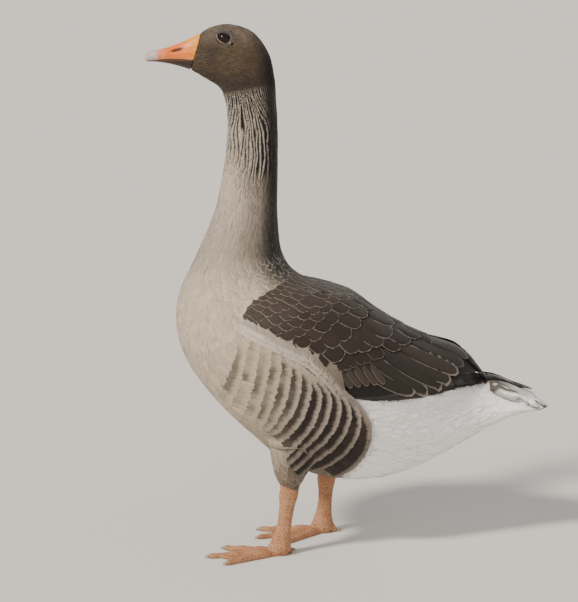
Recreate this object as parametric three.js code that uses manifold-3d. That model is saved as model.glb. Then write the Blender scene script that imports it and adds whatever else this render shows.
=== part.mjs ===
// Domestic goose, standing, as a still life-size model. Millimetres, +Z up, the bird faces -X.
// Its left side is towards -Y. The floor is z = 0.
import * as THREE from "three";
import { mergeVertices } from "three/addons/utils/BufferGeometryUtils.js";
import Module from "manifold-3d";

const wasm = await Module();
wasm.setup();

// ---- Driving dimensions ----

const GAP = 0.35; // clearance between neighbouring parts
const SQUARENESS = 2.2; // superellipse exponent of the body's sections
const BODY_SEGMENTS = 22; // facets round the body
const RING_STEP = 0.5; // from ring to ring along the body, in sections
const WING_PROUD = 7; // how far the folded wing stands off the side of the body
const BLADE_PROUD = 4.5; // thickness of the layer of primaries under the wing
const SIMPLER = 0.02; // a cut part loses the points that stand out by less than this

const SIDES = [
  { name: "left", side: 1 }, // towards -Y
  { name: "right", side: -1 },
];

// Sections of the body, each with its point on the back line and on the throat or belly line as
// [x, z], its half width, the height of the folded wing over the back (lift) and, over the tail,
// the height of the primaries (blade).
const BODY_SECTIONS = [
  { name: "bill root", back: [-123, 735], belly: [-138, 685], halfWidth: 15 },
  { name: "brow", back: [-112, 743.5], belly: [-125, 676.5], halfWidth: 20.5 },
  { name: "eye", back: [-92, 748.5], belly: [-111, 668.5], halfWidth: 25 },
  { name: "cheek", back: [-71, 746.5], belly: [-99, 660], halfWidth: 27 },
  { name: "nape", back: [-48.5, 736.5], belly: [-93, 649.5], halfWidth: 27.5 },
  { name: "throat", back: [-31.5, 714.5], belly: [-90, 637], halfWidth: 26.5 },
  { name: "neck top", back: [-22, 689], belly: [-88, 622], halfWidth: 25.5 },
  { name: "upper neck", back: [-14, 625], belly: [-88, 592], halfWidth: 27.5 },
  { name: "middle neck", back: [-13, 555], belly: [-94, 549], halfWidth: 32.5 },
  { name: "lower neck", back: [-15, 490], belly: [-106, 487], halfWidth: 41 },
  { name: "neck root", back: [-12, 445], belly: [-127, 437], halfWidth: 52 },
  { name: "collar", back: [-7, 424], belly: [-143, 404], halfWidth: 62 },
  { name: "shoulder", back: [4, 405], belly: [-157, 372], halfWidth: 76 },
  { name: "crop", back: [23, 389.5], belly: [-163, 338], halfWidth: 98, lift: 3 },
  { name: "wing bend", back: [46, 383], belly: [-160, 305], halfWidth: 113, lift: 6 },
  { name: "breast", back: [70, 375], belly: [-148, 272], halfWidth: 122, lift: 6 },
  { name: "keel front", back: [92, 362], belly: [-125, 236], halfWidth: 125, lift: 7 },
  { name: "widest", back: [118, 340], belly: [-92, 197], halfWidth: 123, lift: 8 },
  { name: "keel", back: [140, 325], belly: [-52, 159], halfWidth: 116, lift: 9 },
  { name: "thigh front", back: [160, 312], belly: [-14, 126], halfWidth: 107, lift: 10 },
  { name: "thigh back", back: [185, 295], belly: [30, 104], halfWidth: 96, lift: 14 },
  { name: "belly", back: [208, 280], belly: [75, 94.5], halfWidth: 84, lift: 22 },
  { name: "low belly", back: [228, 268], belly: [115, 93.5], halfWidth: 72, lift: 27 },
  { name: "vent front", back: [246, 257], belly: [150, 99], halfWidth: 61, lift: 22 },
  { name: "vent", back: [262, 248], belly: [183, 110], halfWidth: 52, lift: 16 },
  { name: "vent back", back: [276, 240], belly: [213, 124], halfWidth: 45, lift: 10 },
  { name: "rump", back: [289, 232], belly: [246, 142], halfWidth: 39, blade: 11 },
  { name: "tail root", back: [307, 223.5], belly: [281, 163], halfWidth: 36, blade: 12 },
  { name: "tail", back: [333, 211], belly: [325, 184.5], halfWidth: 40, blade: 9 },
  { name: "tail fan", back: [354, 203.5], belly: [350, 191.5], halfWidth: 39, blade: 7 },
  { name: "tail edge", back: [369, 199], belly: [368, 195], halfWidth: 27, blade: 4 },
  { name: "tail tip", back: [375, 197.6], belly: [375, 196.4], halfWidth: 11, blade: 3 },
];

// Where the body is parted, as a position along the named sections (section number and fraction).
const BODY_PARTS = [
  { name: "head", from: 0, to: 6, color: 0x5d5148 },
  { name: "neck_upper", from: 6, to: 8, color: 0x6b5d50 },
  { name: "neck_lower", from: 8, to: 11, color: 0x85786b },
  { name: "breast", from: 11, to: 15.5, color: 0xa69987 },
  { name: "trunk", from: 15.5, to: 23.5, color: 0x8f8271 },
  { name: "rump", from: 23.5, to: 27.5, color: 0xe6e1d8 },
  { name: "tail", from: 27.5, to: 31, color: 0xb9b2a8 },
];

const WING_SECTION = 11; // the body's section where the wings begin

// Outlines in side view as [x, z]. Their upper edges lie above the back, which trims them.
const WING_OUTLINE = [
  [-70, 374], [-76, 348], [-70, 321], [-46, 301], [-7, 276], [21, 263], [58, 248], [102, 248],
  [147, 237], [185, 237], [224, 244], [268, 251], [284, 256], [276, 300], [180, 400], [60, 430],
  [10, 412], [-14, 406], [-36, 397], [-57, 387],
];
const COVERT_EDGE = [[50, 235], [92, 262], [136, 290], [168, 312], [196, 345]];
const BLADE_OUTLINE = [
  [60, 247], [68, 234], [120, 229], [175, 228], [214, 238], [268, 244], [300, 228], [334, 212],
  [358, 206], [360, 210], [341, 224.5], [316, 236], [296, 246], [250, 262], [150, 266],
];

const BILL_SECTIONS = [
  { top: [-123.4, 735.3], bottom: [-138.4, 684.8], halfWidth: 14.6 },
  { top: [-133, 731], bottom: [-147, 687.8], halfWidth: 14 },
  { top: [-145, 725], bottom: [-157, 690.8], halfWidth: 12.4 },
  { top: [-162, 718.4], bottom: [-169, 693.8], halfWidth: 10.8 },
  { top: [-180, 713.2], bottom: [-183, 696], halfWidth: 10.6 },
  { top: [-191, 711.6], bottom: [-192, 696.6], halfWidth: 9.4 },
  { top: [-198, 708], bottom: [-198, 696.6], halfWidth: 6.4 },
  { top: [-201, 703.4], bottom: [-200.6, 699.6], halfWidth: 2 },
];
const GAPE = [[-120, 697], [-134, 699], [-150, 700.4], [-170, 700.8], [-190, 699.2], [-206, 697]];
const NAIL_ROOT_X = -184;
const BILL_STEPS = 12;
const BILL_SEGMENTS = 14; // facets round the bill

const EYE = { x: -92, side: 15.4, z: 729, radius: 8.8 };

const TOE_HEIGHT = 11; // at the hub
const TOE_WIDTH = 13;
const TOE_TIP_HEIGHT = 6.5;
const TOE_TIP_WIDTH = 8;
const WEB_BOTTOM = 0.8;
const WEB_THICKNESS = 2.6;
const TOE_STEPS = 6;
const TOE_JOINTS = 3;
const INSTEP_TOP = 22; // where the foot ends and the shank starts
const INSTEP_AHEAD = 2; // how far the instep's top stands ahead of the shank's own line
const HEEL = 3; // how far the shank's line meets the floor behind where the toes meet
const LEG_SEGMENTS = 12; // facets round a shank
const TOES = [
  { name: "inner", length: 78, angle: -29 },
  { name: "middle", length: 97, angle: 0 },
  { name: "outer", length: 88, angle: 26 },
];
const CLAW_LENGTH = 9;
const HALLUX_CLAW_LENGTH = 7;

// Each leg: side (+1 is the left side, towards -Y), where the toes meet, the ankle and its top,
// the thigh's centre inside the body, and how far the toes turn outwards, in degrees.
const LEGS = [
  { name: "left", side: 1, hub: [-21, 60], ankle: [-4, 60], top: 99, thigh: [-1, 62], heading: 6 },
  { name: "right", side: -1, hub: [52, 54], ankle: [61, 60], top: 92, thigh: [66, 58], heading: -18 },
];

const FINISH = {
  horn: { color: 0xd4743c, roughness: 0.5 },
  nail: { color: 0xe2cdb8, roughness: 0.45 },
  eye: { color: 0x1c120c, roughness: 0.08 },
  covert: { color: 0x5a4d42, roughness: 0.85 },
  quill: { color: 0x41372f, roughness: 0.8 },
  primary: { color: 0x1f1a17, roughness: 0.75 },
  thigh: { color: 0x83766a, roughness: 0.9 },
  leg: { color: 0xc07f52, roughness: 0.6 },
  claw: { color: 0xd9c5a8, roughness: 0.5 },
};

// ---- Small tools ----

const radians = (degrees) => (degrees * Math.PI) / 180;

/** Signed power, which squares off a circle's sine and cosine. */
const squared = (value) => Math.sign(value) * Math.abs(value) ** (2 / SQUARENESS);

/** A closed solid through rings of equal point counts, with a fan at each end. */
function loft(rings) {
  const count = rings[0].length;
  const points = rings.flat();
  const faces = [];
  for (let ring = 0; ring < rings.length - 1; ring += 1) {
    for (let side = 0; side < count; side += 1) {
      const a = ring * count + side;
      const b = ring * count + ((side + 1) % count);
      faces.push(a, b, a + count, b, b + count, a + count);
    }
  }
  for (const [start, turn] of [[0, -1], [(rings.length - 1) * count, 1]]) {
    const centre = new THREE.Vector3();
    for (let side = 0; side < count; side += 1) {
      centre.addScaledVector(points[start + side], 1 / count);
    }
    points.push(centre);
    for (let side = 0; side < count; side += 1) {
      const a = start + side;
      const b = start + ((side + 1) % count);
      faces.push(points.length - 1, turn > 0 ? a : b, turn > 0 ? b : a);
    }
  }
  const geometry = new THREE.BufferGeometry().setFromPoints(points);
  geometry.setIndex(faces);
  return facingOut(geometry);
}

/** Turns every triangle round if the closed geometry faces inwards. */
function facingOut(geometry) {
  const place = geometry.attributes.position;
  const faces = geometry.index.array;
  const corner = [new THREE.Vector3(), new THREE.Vector3(), new THREE.Vector3()];
  let volume = 0;
  for (let i = 0; i < faces.length; i += 3) {
    corner.forEach((point, k) => point.fromBufferAttribute(place, faces[i + k]));
    volume += corner[0].dot(corner[1].clone().cross(corner[2]));
  }
  if (volume < 0) {
    geometry.setIndex(Array.from(faces).reverse());
  }
  return geometry;
}

/** A manifold solid of a closed geometry. */
function solid(geometry) {
  const bare = geometry.clone();
  bare.deleteAttribute("normal");
  bare.deleteAttribute("uv");
  const merged = mergeVertices(bare);
  const vertProperties = new Float32Array(merged.attributes.position.array);
  const triVerts = new Uint32Array(merged.index.array);
  return new wasm.Manifold(new wasm.Mesh({ numProp: 3, vertProperties, triVerts }));
}

/** The geometry of a manifold solid's largest piece. */
function geometryOf(manifold) {
  const pieces = manifold.simplify(SIMPLER).decompose();
  pieces.sort((a, b) => b.volume() - a.volume());
  const mesh = pieces[0].getMesh();
  const geometry = new THREE.BufferGeometry();
  geometry.setAttribute("position", new THREE.BufferAttribute(mesh.vertProperties, 3));
  geometry.setIndex(new THREE.BufferAttribute(mesh.triVerts, 1));
  return geometry;
}

/** A ring about a centre, spanned by two half axes. */
function ellipse(centre, across, up, count) {
  const ring = [];
  for (let i = 0; i < count; i += 1) {
    const angle = (2 * Math.PI * i) / count;
    const point = centre.clone().addScaledVector(across, Math.cos(angle));
    ring.push(point.addScaledVector(up, Math.sin(angle)));
  }
  return ring;
}

/** A side-view outline, made larger by grow, as a slab on one side of the midline. */
function slab(outline, side, grow) {
  const corners = outline.map(([x, z]) => new THREE.Vector2(x, z));
  const turn = THREE.ShapeUtils.isClockWise(corners) ? -1 : 1;
  const grown = corners.map((corner, i) => {
    const before = corners.at(i - 1);
    const after = corners[(i + 1) % corners.length];
    const along = after.clone().sub(before).normalize();
    return new THREE.Vector2(along.y, -along.x).multiplyScalar(turn * grow).add(corner);
  });
  const geometry = new THREE.ExtrudeGeometry(new THREE.Shape(grown), {
    depth: 200,
    bevelEnabled: false,
  });
  geometry.rotateX(Math.PI / 2);
  geometry.translate(0, side > 0 ? -GAP + grow : 200 + GAP - grow, 0);
  return solid(geometry);
}

const goose = new THREE.Group();

/** Adds one named part with its finish. */
function addPart(name, geometry, { color, roughness }) {
  const finish = new THREE.MeshStandardMaterial({ color, roughness, metalness: 0 });
  const mesh = new THREE.Mesh(geometry, finish);
  mesh.name = name;
  goose.add(mesh);
}

// ---- Body: head, neck, breast, trunk, rump and tail ----

const lastSection = BODY_SECTIONS.length - 1;
const backLine = new THREE.SplineCurve(BODY_SECTIONS.map((s) => new THREE.Vector2(...s.back)));
const bellyLine = new THREE.SplineCurve(BODY_SECTIONS.map((s) => new THREE.Vector2(...s.belly)));

/** A smooth value along the sections, from one number for each of them. */
function along(valueOf) {
  const points = BODY_SECTIONS.map((section, i) => new THREE.Vector2(i, valueOf(section)));
  const curve = new THREE.SplineCurve(points);
  return (place) => curve.getPoint(place / lastSection).y;
}

const halfWidthAt = along((section) => section.halfWidth);
const liftAt = along((section) => section.lift ?? section.blade ?? 0);
const bladeAt = along((section) => section.blade ?? BLADE_PROUD);

/** The body's ring at a place along the sections, raised over the back and widened. */
function bodyRing(place, lift, proud) {
  const back = backLine.getPoint(place / lastSection);
  const belly = bellyLine.getPoint(place / lastSection);
  const up = back.clone().sub(belly).normalize();
  back.addScaledVector(up, lift);
  belly.addScaledVector(up, -Math.min(proud, GAP));
  const centre = back.clone().add(belly).multiplyScalar(0.5);
  const half = back.clone().sub(belly).multiplyScalar(0.5);
  const halfWidth = halfWidthAt(place) + proud;
  const ring = [];
  for (let i = 0; i < BODY_SEGMENTS; i += 1) {
    const angle = (2 * Math.PI * i) / BODY_SEGMENTS;
    const height = squared(Math.cos(angle));
    const y = halfWidth * squared(Math.sin(angle));
    ring.push(new THREE.Vector3(centre.x + half.x * height, y, centre.y + half.y * height));
  }
  return ring;
}

/** The body between two places, with its surface moved out by the two growths. */
function bodyLoft(from, to, liftOf, proudOf) {
  const rings = [];
  for (let place = from; place < to - RING_STEP / 2; place += RING_STEP) {
    rings.push(bodyRing(place, liftOf(place), proudOf(place)));
  }
  rings.push(bodyRing(to, liftOf(to), proudOf(to)));
  return loft(rings);
}

/** The step along the sections that leaves the gap between two neighbouring parts. */
function gapStep(place) {
  const small = 0.01;
  const distances = [backLine, bellyLine].map((line) => {
    const here = line.getPoint(place / lastSection);
    return here.distanceTo(line.getPoint((place - small) / lastSection));
  });
  return (small * GAP) / Math.min(...distances);
}

const constant = (value) => () => value;

/** The whole body with the clearance round it, for cutting what lies on it. */
const clearOfBody = solid(bodyLoft(0, lastSection, constant(GAP), constant(GAP)));

function buildBody() {
  for (const { name, from, to, color } of BODY_PARTS) {
    const end = to === lastSection ? to : to - gapStep(to);
    const geometry = bodyLoft(from, end, constant(0), constant(0));
    if (name === "head") {
      let head = solid(geometry);
      for (const { side } of SIDES) {
        head = head.subtract(solid(eyeball(side, EYE.radius + GAP)));
      }
      addPart(name, geometryOf(head), { color, roughness: 0.9 });
    } else {
      addPart(name, geometry, { color, roughness: 0.9 });
    }
  }
}

// ---- Eyes and bill ----

/** The ball of one eye. */
function eyeball(side, radius) {
  const ball = new THREE.SphereGeometry(radius, 10, 7);
  ball.translate(EYE.x, -side * EYE.side, EYE.z);
  return ball;
}

function buildEyes() {
  for (const { name, side } of SIDES) {
    addPart(`eye_${name}`, geometryOf(solid(eyeball(side, EYE.radius))), FINISH.eye);
  }
}

/** A thin sheet across the bill that follows a line in side view. */
function sheetCut(line) {
  const points = line.map(([x, z]) => new THREE.Vector2(x, z));
  const offset = (share) =>
    points.map((point, i) => {
      const before = points[Math.max(i - 1, 0)];
      const after = points[Math.min(i + 1, points.length - 1)];
      const run = after.clone().sub(before).normalize();
      return new THREE.Vector2(-run.y, run.x).multiplyScalar(share * GAP).add(point);
    });
  const shape = new THREE.Shape([...offset(0.5), ...offset(-0.5).reverse()]);
  const geometry = new THREE.ExtrudeGeometry(shape, { depth: 80, bevelEnabled: false });
  geometry.rotateX(Math.PI / 2);
  geometry.translate(0, 40, 0);
  return solid(geometry);
}

/** The bill, parted along the gape and at the root of the nail. */
function buildBill() {
  const curveOf = (valueOf) => new THREE.SplineCurve(BILL_SECTIONS.map(valueOf));
  const topLine = curveOf((section) => new THREE.Vector2(...section.top));
  const bottomLine = curveOf((section) => new THREE.Vector2(...section.bottom));
  const width = curveOf((section, i) => new THREE.Vector2(i, section.halfWidth));
  const rings = [];
  for (let i = 0; i <= BILL_STEPS; i += 1) {
    const top = topLine.getPoint(i / BILL_STEPS);
    const bottom = bottomLine.getPoint(i / BILL_STEPS);
    const centre = new THREE.Vector3((top.x + bottom.x) / 2, 0, (top.y + bottom.y) / 2);
    const up = new THREE.Vector3((top.x - bottom.x) / 2, 0, (top.y - bottom.y) / 2);
    const across = new THREE.Vector3(0, width.getPoint(i / BILL_STEPS).y, 0);
    rings.push(ellipse(centre, across, up, BILL_SEGMENTS));
  }
  const bill = solid(loft(rings)).subtract(sheetCut(GAPE));
  const halves = bill.decompose().sort((a, b) => b.volume() - a.volume());
  const nailCut = sheetCut([[NAIL_ROOT_X + 5, 690], [NAIL_ROOT_X, 704], [NAIL_ROOT_X + 4, 722]]);
  const [upper, nail] = halves[0]
    .subtract(nailCut)
    .decompose()
    .sort((a, b) => b.volume() - a.volume());
  addPart("bill_upper", geometryOf(upper), FINISH.horn);
  addPart("bill_nail", geometryOf(nail), FINISH.nail);
  addPart("bill_lower", geometryOf(halves[1]), FINISH.horn);
}

// ---- Folded wings ----

/** The folded wings, each as its coverts, its secondaries and the primaries below them. */
function buildWings() {
  const shell = (liftOf, proud) =>
    solid(bodyLoft(WING_SECTION, lastSection, liftOf, constant(proud)));
  const wingShell = shell(liftAt, WING_PROUD);
  const bladeShell = shell(bladeAt, BLADE_PROUD);
  const bladeRoom = shell((place) => bladeAt(place) + GAP, BLADE_PROUD + GAP);
  const covertPieces = [...COVERT_EDGE, [-200, 430], [-200, 200]];
  const quillPieces = [...COVERT_EDGE, [400, 430], [400, 200]];
  for (const { name, side } of SIDES) {
    const wing = wingShell
      .intersect(slab(WING_OUTLINE, side, 0))
      .subtract(clearOfBody)
      .subtract(bladeRoom.intersect(slab(BLADE_OUTLINE, side, GAP)));
    const coverts = wing.intersect(slab(covertPieces, side, -GAP / 2));
    const quills = wing.intersect(slab(quillPieces, side, -GAP / 2));
    const blade = bladeShell.intersect(slab(BLADE_OUTLINE, side, 0)).subtract(clearOfBody);
    addPart(`wing_${name}_coverts`, geometryOf(coverts), FINISH.covert);
    addPart(`wing_${name}_secondaries`, geometryOf(quills), FINISH.quill);
    addPart(`wing_${name}_primaries`, geometryOf(blade), FINISH.primary);
  }
}

// ---- Legs ----

/** A limb through upright stations, each with its centre and its two half thicknesses. */
function limb(stations, count) {
  const rings = stations.map(({ x, y, z, long, wide }) => {
    const centre = new THREE.Vector3(x, y, z);
    return ellipse(centre, new THREE.Vector3(long, 0, 0), new THREE.Vector3(0, wide, 0), count);
  });
  return loft(rings);
}

/** The plan direction of a toe, for a leg turned by its heading. */
function toeDirection(leg, angle) {
  const turn = radians(leg.heading + angle);
  return new THREE.Vector3(-Math.cos(turn), -leg.side * Math.sin(turn), 0);
}

const hubOf = (leg) => new THREE.Vector3(leg.hub[0], -leg.side * leg.hub[1], 0);

/** A toe with a flat sole on the floor and a swelling at each joint. */
function toe(leg, { length, angle }) {
  const direction = toeDirection(leg, angle);
  const across = new THREE.Vector3(-direction.y, direction.x, 0);
  const rings = [];
  for (let i = 0; i <= TOE_STEPS; i += 1) {
    const share = i / TOE_STEPS;
    const swelling = 1 + 0.09 * Math.cos(2 * Math.PI * TOE_JOINTS * share);
    const width = THREE.MathUtils.lerp(TOE_WIDTH, TOE_TIP_WIDTH, share) * swelling;
    const height = THREE.MathUtils.lerp(TOE_HEIGHT, TOE_TIP_HEIGHT, share) * swelling;
    const centre = hubOf(leg).addScaledVector(direction, length * share);
    rings.push(soleRing(centre, across, width / 2, height));
  }
  return solid(loft(rings));
}

/** A toe's section: a flat sole and a round top. */
function soleRing(centre, across, halfWidth, height) {
  const ring = [];
  const arcSteps = 4;
  for (let i = 0; i <= arcSteps; i += 1) {
    const angle = (Math.PI * i) / arcSteps;
    const point = centre.clone().addScaledVector(across, halfWidth * Math.cos(angle));
    point.z = height * (0.3 + 0.7 * Math.sin(angle));
    ring.push(point);
  }
  ring.push(centre.clone().addScaledVector(across, -0.75 * halfWidth));
  ring.push(centre.clone().addScaledVector(across, 0.75 * halfWidth));
  return ring;
}

/** The web between the toes, with an edge that curves in between their tips. */
function web(leg) {
  const hub = hubOf(leg);
  const tips = TOES.map(({ length, angle }) =>
    hub.clone().addScaledVector(toeDirection(leg, angle), length - 6),
  );
  const shape = new THREE.Shape();
  shape.moveTo(hub.x, hub.y);
  shape.lineTo(tips[0].x, tips[0].y);
  for (let i = 1; i < tips.length; i += 1) {
    const bend = tips[i - 1].clone().lerp(tips[i], 0.5).lerp(hub, 0.24);
    shape.quadraticCurveTo(bend.x, bend.y, tips[i].x, tips[i].y);
  }
  shape.closePath();
  const settings = { depth: WEB_THICKNESS, bevelEnabled: false, curveSegments: 5 };
  const geometry = new THREE.ExtrudeGeometry(shape, settings);
  geometry.translate(0, 0, WEB_BOTTOM);
  return solid(geometry);
}

/** The place and slope of the small hind toe, from the back of the instep down to the floor. */
function halluxLine(leg) {
  const behind = toeDirection(leg, 18).negate();
  const root = hubOf(leg).addScaledVector(behind, 8).setZ(21);
  const tip = hubOf(leg).addScaledVector(behind, 19).setZ(4.4);
  return { root, tip, behind };
}

/** The small hind toe, which stands on the floor with its tip. */
function hallux(leg) {
  const { root, tip } = halluxLine(leg);
  const rings = [0, 0.35, 0.7, 1].map((share) => {
    const radius = THREE.MathUtils.lerp(5.4, 4.2, share);
    const centre = root.clone().lerp(tip, share);
    return ellipse(centre, new THREE.Vector3(radius, 0, 0), new THREE.Vector3(0, radius, 0), 9);
  });
  const pad = ellipse(
    tip.clone().setZ(0),
    new THREE.Vector3(3.6, 0, 0),
    new THREE.Vector3(0, 3.6, 0),
    9,
  );
  return solid(loft([...rings, pad]));
}

/** The instep: from a broad base on the floor up to the shank. */
function instep(leg) {
  const hub = hubOf(leg);
  const lean = (leg.ankle[0] - leg.hub[0]) / leg.top;
  const stations = [
    { z: 0, long: 9, wide: 9, ahead: 0 },
    { z: 5, long: 15, wide: 12, ahead: 2 },
    { z: 13, long: 16, wide: 11.5, ahead: 3 },
    { z: INSTEP_TOP, long: 13.4, wide: 9.2, ahead: INSTEP_AHEAD },
  ];
  const placed = stations.map((station) => ({
    ...station,
    x: hub.x + HEEL + lean * station.z - station.ahead,
    y: hub.y,
  }));
  return solid(limb(placed, LEG_SEGMENTS));
}

/** The bare shank, from the instep up to the joint under the thigh. */
function shank(leg) {
  const low = new THREE.Vector3(leg.hub[0] + HEEL, -leg.side * leg.hub[1], 0);
  const high = new THREE.Vector3(leg.ankle[0], -leg.side * leg.ankle[1], 0);
  const stations = [
    { z: INSTEP_TOP + GAP, long: 13.2, wide: 9, ahead: INSTEP_AHEAD },
    { z: 33, long: 10.8, wide: 8.2, ahead: 0.6 },
    { z: 50, long: 9.8, wide: 7.6 },
    { z: leg.top - 28, long: 10.8, wide: 8.2 },
    { z: leg.top - 13, long: 13.4, wide: 10 },
    { z: leg.top - 5, long: 13.2, wide: 10.4 },
    { z: leg.top - GAP, long: 12.4, wide: 9.8 },
  ];
  const placed = stations.map((station) => {
    const centre = low.clone().lerp(high, station.z / leg.top);
    return { ...station, x: centre.x - (station.ahead ?? 0), y: centre.y };
  });
  return limb(placed, LEG_SEGMENTS);
}

/** The feathered thigh, cut to the body that it grows from. */
function thigh(leg) {
  const ankle = { x: leg.ankle[0], y: -leg.side * leg.ankle[1] };
  const root = { x: leg.thigh[0], y: -leg.side * leg.thigh[1] };
  const stations = [
    { ...ankle, z: leg.top, long: 14.5, wide: 12 },
    { ...ankle, z: leg.top + 7, long: 19, wide: 16 },
    { ...ankle, z: leg.top + 20, long: 25, wide: 22 },
    { ...root, z: leg.top + 40, long: 32, wide: 28 },
    { ...root, z: leg.top + 66, long: 36, wide: 32 },
  ];
  return solid(limb(stations, 16)).subtract(clearOfBody);
}

/** A claw: a short curved cone from a toe's end. */
function claw(start, direction, length, drop) {
  const across = new THREE.Vector3(-direction.y, direction.x, 0).normalize();
  const rings = [0, 0.4, 0.75, 1].map((share) => {
    const radius = 2.7 * (1 - share) ** 0.7 + 0.35;
    const centre = start.clone().addScaledVector(direction, length * share);
    centre.z -= drop * share ** 2;
    return ellipse(centre, across.clone().multiplyScalar(radius), new THREE.Vector3(0, 0, radius), 8);
  });
  return loft(rings);
}

function buildLegs() {
  for (const leg of LEGS) {
    const toes = TOES.map((each) => toe(leg, each));
    const foot = [...toes, web(leg), hallux(leg)].reduce((sum, part) => sum.add(part), instep(leg));
    const ceiling = new THREE.BoxGeometry(400, 400, 40);
    ceiling.translate(leg.hub[0], 0, INSTEP_TOP + 20);
    addPart(`thigh_${leg.name}`, geometryOf(thigh(leg)), FINISH.thigh);
    addPart(`shank_${leg.name}`, shank(leg), FINISH.leg);
    addPart(`foot_${leg.name}`, geometryOf(foot.subtract(solid(ceiling))), FINISH.leg);
    for (const { name, length, angle } of TOES) {
      const direction = toeDirection(leg, angle);
      const start = hubOf(leg).addScaledVector(direction, length + GAP).setZ(3.6);
      addPart(`claw_${leg.name}_${name}`, claw(start, direction, CLAW_LENGTH, 1.9), FINISH.claw);
    }
    const { tip, behind } = halluxLine(leg);
    const start = tip.clone().addScaledVector(behind, 4.2 + GAP).setZ(4.4);
    addPart(`claw_${leg.name}_hallux`, claw(start, behind, HALLUX_CLAW_LENGTH, 2.2), FINISH.claw);
  }
}

buildBody();
buildEyes();
buildBill();
buildWings();
buildLegs();

// The origin is on the floor, midway between the tips of the bill and the tail.
const box = new THREE.Box3().setFromObject(goose);
goose.position.x = -(box.min.x + box.max.x) / 2;

export default goose;
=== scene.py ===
"""A life-size museum model of a standing domestic goose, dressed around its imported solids.

Metres, +Z up, the bird faces -X and its left side is towards -Y. One skin stands for the flesh,
and feather vanes lie over it in tracts, each a closed thin mesh that follows the lie of the coat.
"""

import logging
import math
from dataclasses import dataclass, field
from enum import Enum
from typing import Callable, Iterable, Sequence

import bpy
import numpy as np
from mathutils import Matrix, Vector
from mathutils.bvhtree import BVHTree
from mathutils.kdtree import KDTree


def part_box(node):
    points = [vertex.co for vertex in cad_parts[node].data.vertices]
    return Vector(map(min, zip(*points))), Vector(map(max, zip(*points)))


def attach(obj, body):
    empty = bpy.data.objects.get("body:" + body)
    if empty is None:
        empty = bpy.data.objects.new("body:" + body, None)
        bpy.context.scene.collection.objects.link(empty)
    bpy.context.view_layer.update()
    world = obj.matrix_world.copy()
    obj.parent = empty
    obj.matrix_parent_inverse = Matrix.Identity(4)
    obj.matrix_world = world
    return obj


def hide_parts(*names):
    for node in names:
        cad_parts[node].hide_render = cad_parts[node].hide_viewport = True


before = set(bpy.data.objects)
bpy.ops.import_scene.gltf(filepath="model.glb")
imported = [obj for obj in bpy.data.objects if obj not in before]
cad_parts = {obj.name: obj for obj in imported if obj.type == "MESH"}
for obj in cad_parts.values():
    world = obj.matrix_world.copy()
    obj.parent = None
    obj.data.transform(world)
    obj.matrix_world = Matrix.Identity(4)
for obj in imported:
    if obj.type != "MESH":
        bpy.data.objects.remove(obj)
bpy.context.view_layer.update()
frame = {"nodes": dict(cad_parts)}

log = logging.getLogger("goose")

MM = 0.001
SIDES = {"left": -1.0, "right": 1.0}  # towards -Y and towards +Y
HASH_STEPS = np.array([127.1, 311.7, 74.7])  # out of step with one another, so that no pattern shows
HASH_SEED_STEP = 17.3
HASH_STRETCH = 43758.5453

Array = np.ndarray
Piece = bpy.types.Object
Material = bpy.types.Material
Pair = tuple[float, float]


# ---- Small tools ----


def linear(colour: str) -> tuple[float, float, float, float]:
    """An sRGB hex colour as linear values.

    Args:
        colour: six hex digits, such as "7f7468".

    Returns:
        Red, green, blue and an alpha of 1, all linear.
    """
    shares = [int(colour[i : i + 2], 16) / 255 for i in (0, 2, 4)]
    return tuple(c / 12.92 if c <= 0.04045 else ((c + 0.055) / 1.055) ** 2.4 for c in shares) + (1.0,)


def tone(colour: str) -> Array:
    """An sRGB hex colour as a linear array of three."""
    return np.array(linear(colour)[:3])


def smooth(low: float, high: float, value: Array) -> Array:
    """A smooth step from 0 at low to 1 at high."""
    share = np.clip((value - low) / (high - low), 0.0, 1.0)
    return share * share * (3 - 2 * share)


def blend(first: Array, second: Array, share: Array) -> Array:
    """Mixes two colours, or rows of colours, by a share for each row."""
    share = np.asarray(share, float)[..., None]
    return first * (1 - share) + second * share


def unit(vectors: Array) -> Array:
    """Each row of an array scaled to length 1."""
    return vectors / np.maximum(np.linalg.norm(vectors, axis=-1, keepdims=True), 1e-9)


def hash_noise(cells: Array, seed: int) -> Array:
    """A repeatable random number from 0 to 1 for each row of whole numbers."""
    mixed = np.sin(cells @ HASH_STEPS + seed * HASH_SEED_STEP) * HASH_STRETCH
    return mixed - np.floor(mixed)


def soft_noise(points: Array, size: float, seed: int = 0) -> Array:
    """Smooth noise from -1 to 1 at each point.

    Args:
        points: positions, one row each.
        size: the width of a patch, in the points' unit.
        seed: picks one of many patterns.

    Returns:
        One value for each point.
    """
    scaled = points / size
    cell = np.floor(scaled)
    inside = scaled - cell
    inside = inside * inside * (3 - 2 * inside)
    total = np.zeros(len(points))
    for corner in np.ndindex(2, 2, 2):
        shift = np.array(corner)
        weight = np.prod(np.where(shift == 1, inside, 1 - inside), axis=1)
        total += weight * hash_noise(cell + shift, seed)
    return total * 2 - 1


def deselect() -> None:
    """Leaves object mode with nothing selected."""
    if bpy.context.object and bpy.context.object.mode != "OBJECT":
        bpy.ops.object.mode_set(mode="OBJECT")
    bpy.ops.object.select_all(action="DESELECT")


def pick(piece: Piece) -> None:
    """Selects one object alone and makes it the active one."""
    deselect()
    piece.select_set(True)
    bpy.context.view_layer.objects.active = piece


def apply_modifier(piece: Piece, kind: str, **settings: object) -> None:
    """Adds a modifier with its settings and applies it.

    Args:
        piece: the object that is changed.
        kind: Blender's name of the modifier's type.
        settings: its properties.
    """
    pick(piece)
    modifier = piece.modifiers.new(kind.title(), kind)
    for name, value in settings.items():
        setattr(modifier, name, value)
    bpy.ops.object.modifier_apply(modifier=modifier.name)


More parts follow.
